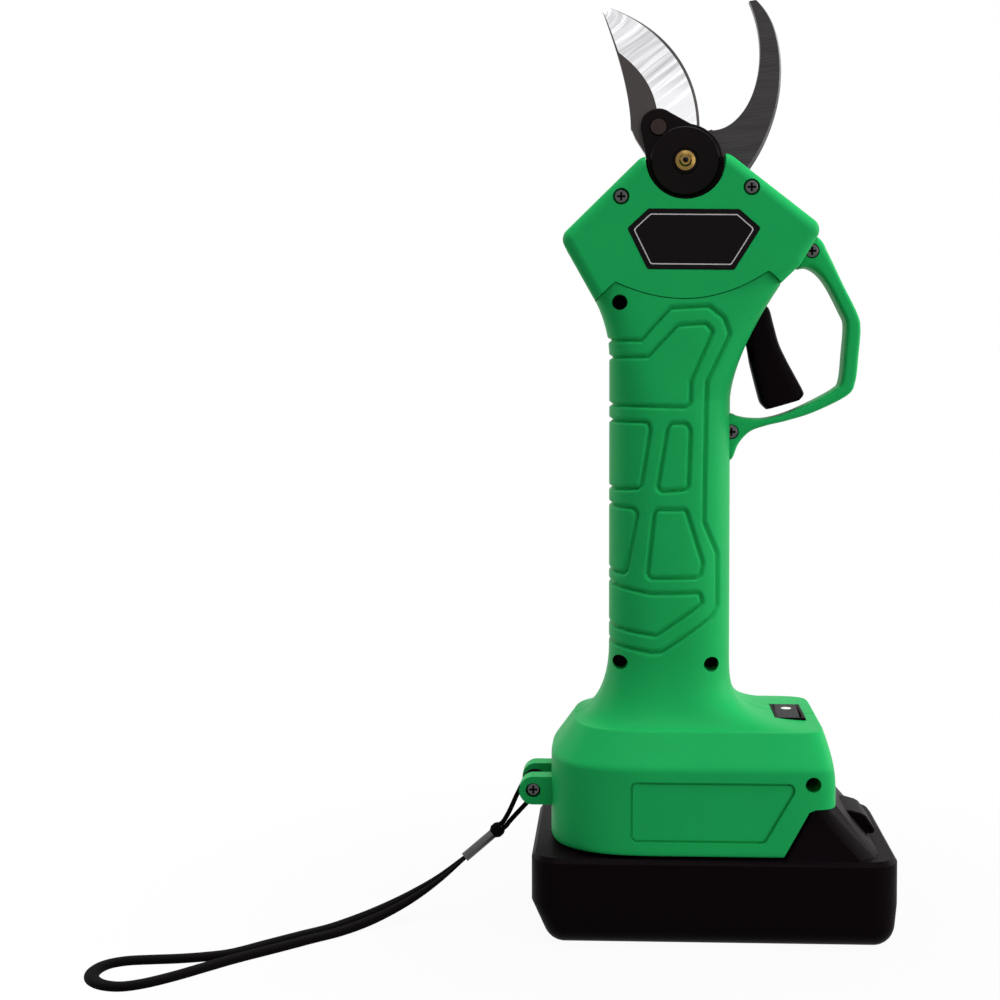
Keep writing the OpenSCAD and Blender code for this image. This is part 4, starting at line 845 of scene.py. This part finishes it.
class PRUNER_OT_shells(bpy.types.Operator):
    """Handle and foot: two lofted halves with the moulded grip, screw wells, slots and strap lug"""
    bl_idname = "pruner.shells"
    bl_label = "Handle and Foot"

    def execute(self, context):
        rows = [foot_row(FOOT_Z + up, tuck) for up, tuck in FOOT_LIP]
        rows += [foot_row(z) for z in np.linspace(FOOT_Z + 2, FOOT_TOP_Z - 1.0, FOOT_ROWS)]
        rows += [foot_row(FOOT_TOP_Z - down, tuck) for down, tuck in FOOT_SHOULDER]
        rows += [flare_row(a) for a in FLARE_ANGLES]
        rows += [handle_row(z)
                 for z in np.linspace(FOOT_TOP_Z + FLARE_H, HANDLE_TOP, HANDLE_ROWS)]
        points = np.array([half_section(row, SECTION_POINTS) for row in rows])
        points = self.moulded(points, context.scene.pruner_sizes)
        green = finishes()["green"]
        for name, back in (("front_shell", False), ("rear_shell", True)):
            obj = self.half(name, points, back)
            reshade(obj, angle=48)
            finish_piece(obj, "body", "green_plastic", [green], name)
        return {"FINISHED"}

    def moulded(self, points, sizes):
        """The points with the grip's grooves and the parting line pressed in."""
        out = np.cross(np.gradient(points, axis=1), np.gradient(points, axis=0))
        out /= np.maximum(np.linalg.norm(out, axis=2), 1e-9)[:, :, None]
        x, y, z = np.moveaxis(points, 2, 0)
        cut = np.zeros(x.shape)
        width, corner = sizes.groove_width / MM, sizes.groove_corner / MM
        for outline in GRIP_LINES.values():
            away = np.abs(line_distance(x, z, outline, corner)) / width
            groove = 0.5 + 0.5 * np.cos(np.pi * np.minimum(away, 1))
            cut = np.maximum(cut, np.where(away < 1, groove, 0))
        cut *= sizes.groove_depth / MM
        cut += np.clip(1 - np.abs(y) / PARTING_HALF, 0, 1) * sizes.parting_depth / MM
        shaped = points - out * cut[:, :, None]
        shaped[:, 0, 1] = shaped[:, -1, 1] = 0
        return shaped

    def half(self, name, points, back):
        rows, cols = points.shape[:2]
        bm = loft(points)
        bm.verts.ensure_lookup_table()
        for row in (0, rows - 1):
            bm.faces.new([bm.verts[row * cols + k] for k in range(cols)])
        left = [bm.verts[r * cols] for r in range(rows)]
        right = [bm.verts[r * cols + cols - 1] for r in range(rows)]
        for r in range(rows - 1):
            bm.faces.new((left[r], right[r], right[r + 1], left[r + 1]))
        bmesh.ops.recalc_face_normals(bm, faces=bm.faces)
        obj = new_object(name + "_skin", bm)
        carve(obj, disc(*LUG, LUG_R, -LUG_OUT, -LUG_IN), "UNION")
        carve(obj, block((LUG[0], -LUG_OUT, LUG[1] - LUG_R),
                         (-FOOT_LEFT + LUG_ROOT, -LUG_IN, LUG[1] + LUG_R)), "UNION")
        above = seam_line(-SEAM_GAP / 2) + [(SEAM_STEPS[-1], OVER), (SEAM_STEPS[0], OVER)]
        carve(obj, plate(above, -OUT, PAST))
        carve(obj, seam_rim(), "UNION")
        carve(obj, plate(FOOT_CUT, -OUT, PAST))
        carve(obj, self.panel(0, -FOOT_HALF - 3, -FOOT_HALF + PANEL_DEEP + PANEL_MOAT))
        carve(obj, self.panel(PANEL_MOAT * 2, -FOOT_HALF + PANEL_DEEP, -FOOT_HALF + WALL), "UNION")
        for slot in (GUARD_SLOT, TRIGGER_SLOT, SWITCH_BOX):
            carve(obj, block(*slot))
        self.hollow(obj)
        carve(obj, disc(*LUG, BORE_R, -LUG_REACH, PAST))
        for place in SCREW_WELLS:
            if not back:
                carve(obj, disc(*place, WELL_R, -OUT, WELL_FLOOR))
            carve(obj, disc(*place, BORE_R, -BORE_REACH, PAST))
        if back:
            mirror_y(obj)
        else:
            carve(obj, disc(*LUG, WELL_R, -LUG_REACH, LUG_WELL_DEEP - LUG_OUT))
        return obj

    def panel(self, inset, y0, y1):
        return plate(round_outline(inset_outline(PANEL, PANEL_R), PANEL_R - inset), y0, y1)

    def hollow(self, obj):
        """Cuts the room for the battery's rail and the bore for the drive."""
        seat = half_section((0, FOOT_LEFT - WALL, FOOT_RIGHT - WALL, FOOT_HALF - WALL,
                             LEFT_SQUARE, RIGHT_SQUARE), SEAT_POINTS)
        seat = [(seat[0, 0], PAST), *seat[:, :2], (seat[-1, 0], PAST)]
        carve(obj, tower(seat, RAIL_TOP, SEAT_TOP))
        rail = [(x, max(y, -RAIL_HALF)) for x, y in seat]
        carve(obj, tower(rail, UNDER_FOOT, RAIL_TOP + 0.1))
        bore = [(PIVOT[0] + DRIVE_BORE * math.cos(a), DRIVE_BORE * math.sin(a))
                for a in np.radians(range(0, 360, 5))]
        carve(obj, tower(bore, DRIVE_BORE_Z, OVER))


class PRUNER_OT_head(bpy.types.Operator):
    """Hollow head covers with notch and screw wells, and the bare badge with its silver line"""
    bl_idname = "pruner.head"
    bl_label = "Head"

    def execute(self, context):
        f = finishes()
        face = -HEAD_HALF
        front = self.cover("head_cover_front_skin", DISC_BACK - NOTCH_GAP, NOTCH_R)
        hook = np.vstack([bezier(HOOK_OUTER, np.linspace(0, 1, 5)),
                          bezier(HOOK_INNER, np.linspace(1, 0, 5)), HOOK_ROOT])
        carve(front, plate(PIVOT + inset_outline(hook, -FIT_GAP), HOOK_FRONT - FIT_GAP, PAST))
        for place in HEAD_SCREWS:
            carve(front, disc(*place, HEAD_WELL_R, face - OVERCUT, face + HEAD_WELL_DEEP))
            carve(front, disc(*place, BORE_R, face - OVERCUT, OVERCUT))
        carve(front, plate(self.badge(BADGE_GAP), face - OVERCUT, face + BADGE_DEEP))
        reshade(front, angle=32)
        finish_piece(front, "body", "green_plastic", [f["green"]], "head_cover_front")

        rear = self.cover("head_cover_rear_skin", -CASE_BACK - NOTCH_GAP, REAR_NOTCH_R)
        for place in HEAD_SCREWS:
            carve(rear, disc(*place, BORE_R, -TAB_REACH, OVERCUT))
        mirror_y(rear)
        reshade(rear, angle=32)
        finish_piece(rear, "body", "green_plastic", [f["green"]], "head_cover_rear")

        obj = new_object("badge_plate_skin", plate(self.badge(0), face, face + BADGE_DEEP - 0.05))
        reshade(obj, angle=30)
        finish_piece(obj, "body", "black_plastic", [f["gloss"]], "badge_plate")
        width = context.scene.pruner_sizes.border_width / MM
        line = new_object("badge_border", plate(
            self.badge(-BORDER_INSET), face - BORDER_RISE, face + BORDER_SINK))
        carve(line, plate(self.badge(-BORDER_INSET - width), face - OVERCUT, face + OVERCUT))
        finish_piece(line, "body", "polished_steel", [f["silver"]])
        return {"FINISHED"}

    def badge(self, grow):
        return round_outline(inset_outline(BADGE, BADGE_R - grow), BADGE_R)

    def cover(self, name, collar_end, notch):
        obj = new_object(name, head_solid(0, 0, HEAD_EDGE))
        carve(obj, head_solid(1, WALL, 2))
        collar = disc(*PIVOT, NOTCH_R + COLLAR_T, -HEAD_HALF, collar_end, segments=96)
        inside = new_object("inside", collar)
        for place in HEAD_SCREWS:
            carve(inside, disc(*place, BOSS_R, -HEAD_HALF, 0), "UNION")
        carve(inside, head_solid(0, 0.5, HEAD_EDGE), "INTERSECT")
        carve(obj, take_mesh(inside), "UNION")
        carve(obj, disc(*PIVOT, notch, -HEAD_HALF - OVERCUT, OVERCUT, segments=128))
        below = [(SEAM_STEPS[0], UNDER_HEAD), (SEAM_STEPS[-1], UNDER_HEAD)]
        carve(obj, plate(below + seam_line(SEAM_GAP / 2)[::-1], -OUT, PAST))
        carve(obj, guard_tab(FIT_GAP))
        return obj


class PRUNER_OT_guard(bpy.types.Operator):
    """Trigger guard: one swept bow with rounded edges"""
    bl_idname = "pruner.guard"
    bl_label = "Trigger Guard"

    def execute(self, context):
        inner, outer = [smooth_line(line, 8) for line in zip(*GUARD_PAIRS)]
        k, w = squared_circle(49, GUARD_SQUARE)
        rings = []
        for p, q in zip(inner, outer):
            c, h = (p + q) / 2, (q - p) / 2
            rings.append(np.stack([c[0] + h[0] * k, GUARD_HALF * w, c[1] + h[1] * k], axis=1))
        obj = new_object("trigger_guard_skin", loft(np.array(rings), close=True, caps=True))
        carve(obj, guard_tab(0), "UNION")
        for place in GUARD_SCREWS:
            carve(obj, disc(*place, GUARD_WELL_R, -TAB_REACH, -GUARD_HALF + GUARD_WELL_DEEP))
            carve(obj, disc(*place, BORE_R, -TAB_REACH, TAB_REACH))
        reshade(obj, angle=40)
        finish_piece(obj, "body", "green_plastic", [finishes()["green"]], "trigger_guard")
        return {"FINISHED"}


class PRUNER_OT_trigger(bpy.types.Operator):
    """Trigger: a smooth lever that thickens towards its tip"""
    bl_idname = "pruner.trigger"
    bl_label = "Trigger"

    def execute(self, context):
        k, w = squared_circle(49, TRIGGER_SQUARE)
        rings = [np.stack([back + (front - back) * (k + 1) / 2, TRIGGER_HALF * w,
                           TRIGGER_PIVOT[1] + z + rise * (k + 1) / 2], axis=1)
                 for z, back, front, rise in smooth_line(TRIGGER_ROWS, 8)]
        obj = new_object("trigger_skin", loft(np.array(rings), close=True, caps=True))
        carve(obj, disc(*TRIGGER_PIVOT, TRIGGER_EYE_R, -TRIGGER_HALF, TRIGGER_HALF), "UNION")
        carve(obj, disc(*TRIGGER_PIVOT, BORE_R, -BORE_REACH, BORE_REACH))
        reshade(obj, angle=40)
        finish_piece(obj, "trigger", "black_plastic", [finishes()["black"]], "trigger")
        return {"FINISHED"}


class PRUNER_OT_blades(bpy.types.Operator):
    """Moving blade with its ground bevel, and the fixed hook with its ground edge"""
    bl_idname = "pruner.blades"
    bl_label = "Blades"

    def execute(self, context):
        f = finishes()
        t = np.linspace(0, 1, 73)
        edge, spine = PIVOT + bezier(EDGE_CURVE, t), PIVOT + bezier(SPINE_CURVE, t)
        share = np.maximum(FLAT_LEAST, FLAT_SHARE * (1 - (t / FLAT_END) ** 3))
        thinned = (BLADE_BACK - TIP_T - BLADE_FRONT) * (t - FLAT_END) / (1 - FLAT_END)
        front = np.where(t < FLAT_END, BLADE_FRONT, BLADE_FRONT + thinned)
        bend = spine + (edge - spine) * share[:, None]
        fine = bend + (edge - bend) * FINE_BEVEL
        land = BLADE_BACK - EDGE_LAND
        rounded = front + (land - front) * FINE_BEVEL - FINE_RISE
        columns = [(edge, BLADE_BACK), (spine, BLADE_BACK), (spine, front), (bend, front),
                   (fine, rounded), (edge, land), (edge, BLADE_BACK)]
        obj = self.blade("moving_blade_skin", columns, 3, BLADE_ROOT, BLADE_FRONT, BLADE_BACK,
                         BLADE_HUB_R, 96)
        finish_piece(obj, "blade", "polished_steel", [f["blued"], f["polished"]], "moving_blade")

        t = np.linspace(0, 1, 65)
        inner, outer = PIVOT + bezier(HOOK_INNER, t), PIVOT + bezier(HOOK_OUTER, t)
        strip = inner + (outer - inner) * HOOK_STRIP
        columns = [(inner, HOOK_FRONT), (strip, HOOK_FRONT), (outer, HOOK_FRONT + HOOK_STRIP_DROP),
                   (outer, HOOK_BACK), (inner, HOOK_BACK), (inner, HOOK_FRONT)]
        obj = self.blade("hook_blade_skin", columns, 1, HOOK_TANG, HOOK_FRONT, HOOK_BACK,
                         HUB_R, 72)
        finish_piece(obj, "body", "dark_steel", [f["dark_steel"], f["plated"]], "hook_blade")
        return {"FINISHED"}

    def blade(self, name, columns, ground, root, front, back, hub, segments):
        """A blade lofted through its columns of points, joined to its flat root and round hub."""
        points = np.stack([at_depth(line, y) for line, y in columns], axis=1)
        obj = new_object(name, loft(points, close=True, caps=True, ground=ground))
        carve(obj, plate([PIVOT + p for p in root], front, back), "UNION")
        carve(obj, disc(*PIVOT, hub, front, back, segments), "UNION")
        reshade(obj, angle=8)
        return obj


class PRUNER_OT_drive(bpy.types.Operator):
    """Drive disc, its pin, the shaft with nut and the grease nipple with its ball"""
    bl_idname = "pruner.drive"
    bl_label = "Drive Disc"

    def execute(self, context):
        f = finishes()
        soft_copy("driver_plate", "blade", "black_metal", f["drive"], width=0.4, angle=40)
        dress_copy("drive_pin", "blade", "dark_steel", f["pin"])
        dress_copy("pivot_shaft", "blade", "black_metal", f["drive"])
        dress_copy("shaft_nut", "blade", "dark_steel", f["screw"])
        dress_copy("grease_nipple", "blade", "brass", f["brass"], angle=20)
        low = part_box("grease_nipple")[0]
        place = (PIVOT[0] * MM, low[1] + NIPPLE_BALL_DEEP * MM, PIVOT[1] * MM)
        bm = bmesh.new()
        bmesh.ops.create_uvsphere(bm, u_segments=24, v_segments=16, radius=NIPPLE_BALL_R * MM)
        bmesh.ops.translate(bm, verts=bm.verts, vec=place)
        smooth_faces(bm, angle=60)
        finish_piece(new_object("nipple_ball", bm), "blade", "dark_steel", [f["gloss"]])
        return {"FINISHED"}


class PRUNER_OT_power_switch(bpy.types.Operator):
    """Rocker switch with its bezel and its two printed marks"""
    bl_idname = "pruner.power_switch"
    bl_label = "Power Switch"

    def execute(self, context):
        f = finishes()
        dress_copy("switch_bezel", "body", "black_plastic", f["black"])
        tilt = Matrix.Rotation(math.radians(ROCKER_TILT), 3, "X")
        pin = Vector(ROCKER_PIN) * MM
        bm = node_copy("power_rocker")
        for vert in bm.verts:
            place = tilt.inverted() @ (vert.co - pin)
            place.z = min(place.z, ROCKER_FACE * MM)
            vert.co = tilt @ place + pin
        smooth_faces(bm, angle=30)
        rocker = new_object("power_rocker_skin", bm)
        finish_piece(rocker, "rocker", "black_plastic", [f["gloss"]], "power_rocker")
        for name, y, size, finish in ROCKER_MARKS:
            bm = bmesh.new()
            bmesh.ops.create_cone(bm, cap_ends=True, segments=32, radius1=MM, radius2=MM,
                                  depth=MARK_T * MM)
            bmesh.ops.scale(bm, verts=bm.verts, vec=size)
            bmesh.ops.translate(bm, verts=bm.verts, vec=(0, y * MM, ROCKER_FACE * MM))
            bmesh.ops.rotate(bm, verts=bm.verts, matrix=tilt)
            bmesh.ops.translate(bm, verts=bm.verts, vec=pin)
            finish_piece(new_object(name, bm), "rocker", "black_plastic", [f[finish]])
        return {"FINISHED"}


class PRUNER_OT_battery(bpy.types.Operator):
    """Battery pack: case halves, latch button and what is inside"""
    bl_idname = "pruner.battery"
    bl_label = "Battery"

    def execute(self, context):
        f = finishes()
        dress_copy("battery_case_lower", "battery", "black_plastic", f["black"], angle=35)
        dress_copy("battery_case_upper", "battery", "black_plastic", f["black"], angle=35)
        soft_copy("latch_button", "latch", "black_plastic", f["black"], width=0.6)
        spring = dress_copy("latch_spring", "battery", "polished_steel", f["steel"])
        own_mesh(spring)
        dress_nodes(f["cell"], ["battery_cells"])
        dress_nodes(f["board"], ["battery_board"])
        dress_nodes(f["brass"], ["battery_terminals"])
        return {"FINISHED"}


class PRUNER_OT_strap(bpy.types.Operator):
    """Wrist strap: a thin loop round the lug, knot, crimp and a doubled woven tape"""
    bl_idname = "pruner.strap"
    bl_label = "Wrist Strap"

    def execute(self, context):
        f = finishes()
        axis = unit(CRIMP_END - KNOT_START)
        path = smooth_line(self.cord_stops(axis), 6)
        half = np.full(len(path), CORD_D / 2)
        cord = self.tube("strap_cord_skin", path, half, half, (0, 1, 0))
        finish_piece(cord, "body", "webbing", [f["braid"]], "strap_cord")

        knot = dress_copy("strap_knot", "body", "webbing", f["webbing"], angle=50)
        crimp = dress_copy("strap_crimp", "body", "polished_steel", f["plated"])

        line = np.array([CRIMP_END, *TAPE_DOUBLED])
        ahead = np.vstack([axis, line[2:] - line[:-2], line[-1] - line[-2]])
        across = unit(np.stack([-ahead[:, 1], ahead[:, 0], np.zeros(len(ahead))], axis=1))
        swell = np.array(TAPE_SWELL)
        shift = across * ((TAPE_W / 2 + TAPE_GAP) * swell)[:, None]
        loop = [(x, y, TAPE_LIFT) for x, y in TAPE_LOOP]
        path = smooth_line(np.vstack([line - shift, loop, (line + shift)[::-1]]), 6)
        grow = np.concatenate([swell, np.ones(len(loop)), swell[::-1]])
        grow = smooth_line(grow[:, None], 6)[:, 0]
        tape = self.tube("strap_tape_skin", path, TAPE_W / 2 * grow, TAPE_T / 2 * grow, (0, 0, 1))
        finish_piece(tape, "body", "webbing", [f["webbing"]], "strap_tape")

        self.declare(cord, tape, knot, crimp)
        return {"FINISHED"}

    def cord_stops(self, axis):
        """The cord's way from the knot round the lug's sleeve and back."""
        side = unit(np.cross([0, 0, 1], axis))
        apart = np.cross(axis, side) * (CORD_D / 2 + CORD_GAP)
        reach = LUG_SLEEVE_R + CORD_D / 2 + CORD_GAP
        turn = [(LUG[0] + reach * math.cos(a), 0, LUG[1] + reach * math.sin(a))
                for a in map(math.radians, CORD_TURN)]
        run = axis * KNOT_RUN
        return [KNOT_START + apart, KNOT_START + apart - run, *CORD_DOWN, *turn, *CORD_BACK,
                KNOT_START - apart - run, KNOT_START - apart]

    def declare(self, cord, tape, knot, crimp):
        for obj, diameter, lay, pieces in ((cord, CORD_D, "hanging", [knot, crimp]),
                                           (tape, TAPE_W, "loose", [])):
            path = np.array(json.loads(obj["path"]))

    def tube(self, name, path, half_width, half_thick, across):
        ahead = unit(np.gradient(path, axis=0))
        side = unit(np.cross(np.array(across, dtype=float), ahead))
        up = np.cross(ahead, side)
        c, s = squared_circle(25, STRAP_SQUARE)
        rings = (path[:, None, :] + (side * half_width[:, None])[:, None, :] * c[None, :, None]
                 + (up * half_thick[:, None])[:, None, :] * s[None, :, None])
        bm = loft(rings, close=True, caps=True)
        smooth_faces(bm, angle=60)
        obj = new_object(name, bm)
        obj["path"] = json.dumps((path * MM).tolist())
        return obj


class PRUNER_OT_screws(bpy.types.Operator):
    """Cross-head screws, and the lug's sleeve"""
    bl_idname = "pruner.screws"
    bl_label = "Screws"

    def execute(self, context):
        f = finishes()
        for name, places, head_y, tip_y, finish in SCREW_GROUPS:
            self.group(name, places, head_y, tip_y, f[finish])
        dress_copy("lug_sleeve", "body", "dark_steel", f["screw"])
        return {"FINISHED"}

    def group(self, name, places, head_y, tip_y, finish):
        bm = bmesh.new()
        for x, z in places:
            add_mesh(bm, self.screw(x, z, head_y, tip_y))
        smooth_faces(bm, angle=30)
        obj = new_object(name + "_skin", bm)
        # The second material is painted shade: it paints the cross recesses near-black
        finish_piece(obj, "body", "dark_steel", [finish, finishes()["oxide"]], name)

    def screw(self, x, z, head_y, tip_y):
        bm = disc(x, z, SCREW_HEAD_R, head_y, head_y + SCREW_HEAD_H, 40)
        rim = [edge for edge in bm.edges
               if max(v.co.y for v in edge.verts) < (head_y + 0.1) * MM]
        bmesh.ops.bevel(bm, geom=rim, offset=SCREW_ROUND * MM, segments=4, profile=0.5,
                        affect="EDGES", material=-1)
        obj = new_object("screw", bm)
        carve(obj, disc(x, z, SCREW_R, head_y + 1, tip_y, 32), "UNION")
        for wide, high in ((CROSS_LONG, CROSS_THIN), (CROSS_THIN, CROSS_LONG)):
            cross = block((x - wide, head_y - 1, z - high),
                          (x + wide, head_y + CROSS_DEEP, z + high))
            # The cross recess takes the second material, painted near-black as painted shade
            for face in cross.faces:
                face.material_index = 1
            carve(obj, cross)
        return take_mesh(obj)


class PRUNER_OT_inside(bpy.types.Operator):
    """Finishes of the pieces inside the head and handle"""
    bl_idname = "pruner.inside"
    bl_label = "Inside"

    def execute(self, context):
        f = finishes()
        dress_nodes(f["screw"], ["bevel_sector", "hook_screws", "bevel_pinion"])
        dress_nodes(f["brass"], ["pivot_bush"])
        dress_nodes(f["cast"], ["gear_case", "gearbox_housing"])
        dress_nodes(f["steel"], [
            "shaft_bearing", "pinion_bearing", "motor", "trigger_pin", "trigger_spring"])
        dress_nodes(f["black"], ["trigger_switch", "terminal_block"])
        dress_nodes(f["board"], ["control_board"])
        return {"FINISHED"}


class PRUNER_OT_stage(bpy.types.Operator):
    """Pale floor, soft studio light and the camera"""
    bl_idname = "pruner.stage"
    bl_label = "Stage"

    def execute(self, context):
        scene = context.scene
        scene.view_settings.view_transform = "Standard"
        bm = bmesh.new()
        bmesh.ops.create_grid(bm, x_segments=1, y_segments=1, size=FLOOR_SIZE)
        floor = new_object("floor", bm)
        floor.data.materials.append(pale_floor("pale floor"))
        self.world(scene)
        for lamp in LAMPS:
            self.lamp(*lamp)
        camera = bpy.data.cameras.new("camera")
        camera.lens, camera.sensor_width = CAMERA_LENS, CAMERA_SENSOR
        camera.shift_x, camera.shift_y = CAMERA_SHIFT
        camera.clip_start, camera.clip_end = CAMERA_CLIP
        holder = bpy.data.objects.new("camera", camera)
        holder.location = CAMERA_PLACE
        holder.rotation_euler = [math.radians(a) for a in CAMERA_TURN]
        scene.collection.objects.link(holder)
        scene.camera = holder
        return {"FINISHED"}

    def world(self, scene):
        """Weak light all round that shows as plain white"""
        world = bpy.data.worlds.new("studio")
        world.use_nodes = True
        tree = world.node_tree
        light = tree.nodes["Background"]
        feed(tree, light, {"Color": (1, 1, 1, 1), "Strength": SCATTERED})
        white = add(tree, "Background", {"Color": (1, 1, 1, 1), "Strength": WHITE})
        mix = add(tree, "MixShader", {
            "Fac": looked_at(tree), 1: light.outputs["Background"], 2: white.outputs["Background"]})
        feed(tree, tree.nodes["World Output"], {"Surface": mix.outputs["Shader"]})
        scene.world = world

    def lamp(self, name, place, target, size, power):
        light = bpy.data.lights.new(name, "AREA")
        light.shape, light.energy = "RECTANGLE", power
        light.size, light.size_y = size
        obj = bpy.data.objects.new(name, light)
        obj.location = place
        aim = Vector(target) - Vector(place)
        obj.rotation_euler = aim.to_track_quat("-Z", "Y").to_euler()
        bpy.context.scene.collection.objects.link(obj)


class PRUNER_PT_panel(bpy.types.Panel):
    """Lists the pruner's pieces in the order in which they are made"""
    bl_label = "Pruner"
    bl_idname = "PRUNER_PT_panel"
    bl_space_type = "VIEW_3D"
    bl_region_type = "UI"
    bl_category = "Pruner"

    def draw(self, context):
        for group in (context.scene.pruner_colours, context.scene.pruner_sizes):
            for name in group.__annotations__:
                self.layout.prop(group, name)
        for operator in OPERATORS:
            self.layout.operator(operator.bl_idname)


OPERATORS = (
    PRUNER_OT_stage, PRUNER_OT_strap, PRUNER_OT_shells, PRUNER_OT_head, PRUNER_OT_guard,
    PRUNER_OT_trigger, PRUNER_OT_blades, PRUNER_OT_drive, PRUNER_OT_power_switch,
    PRUNER_OT_battery, PRUNER_OT_screws, PRUNER_OT_inside)
CLASSES = (PrunerColours, PrunerSizes, *OPERATORS, PRUNER_PT_panel)


def register():
    for cls in CLASSES:
        bpy.utils.register_class(cls)
    bpy.types.Scene.pruner_colours = bpy.props.PointerProperty(type=PrunerColours)
    bpy.types.Scene.pruner_sizes = bpy.props.PointerProperty(type=PrunerSizes)


def unregister():
    del bpy.types.Scene.pruner_sizes
    del bpy.types.Scene.pruner_colours
    for cls in reversed(CLASSES):
        bpy.utils.unregister_class(cls)


def main():
    register()
    for operator in OPERATORS:
        group, name = operator.bl_idname.split(".")
        getattr(getattr(bpy.ops, group), name)()


if __name__ == "__main__":
    main()
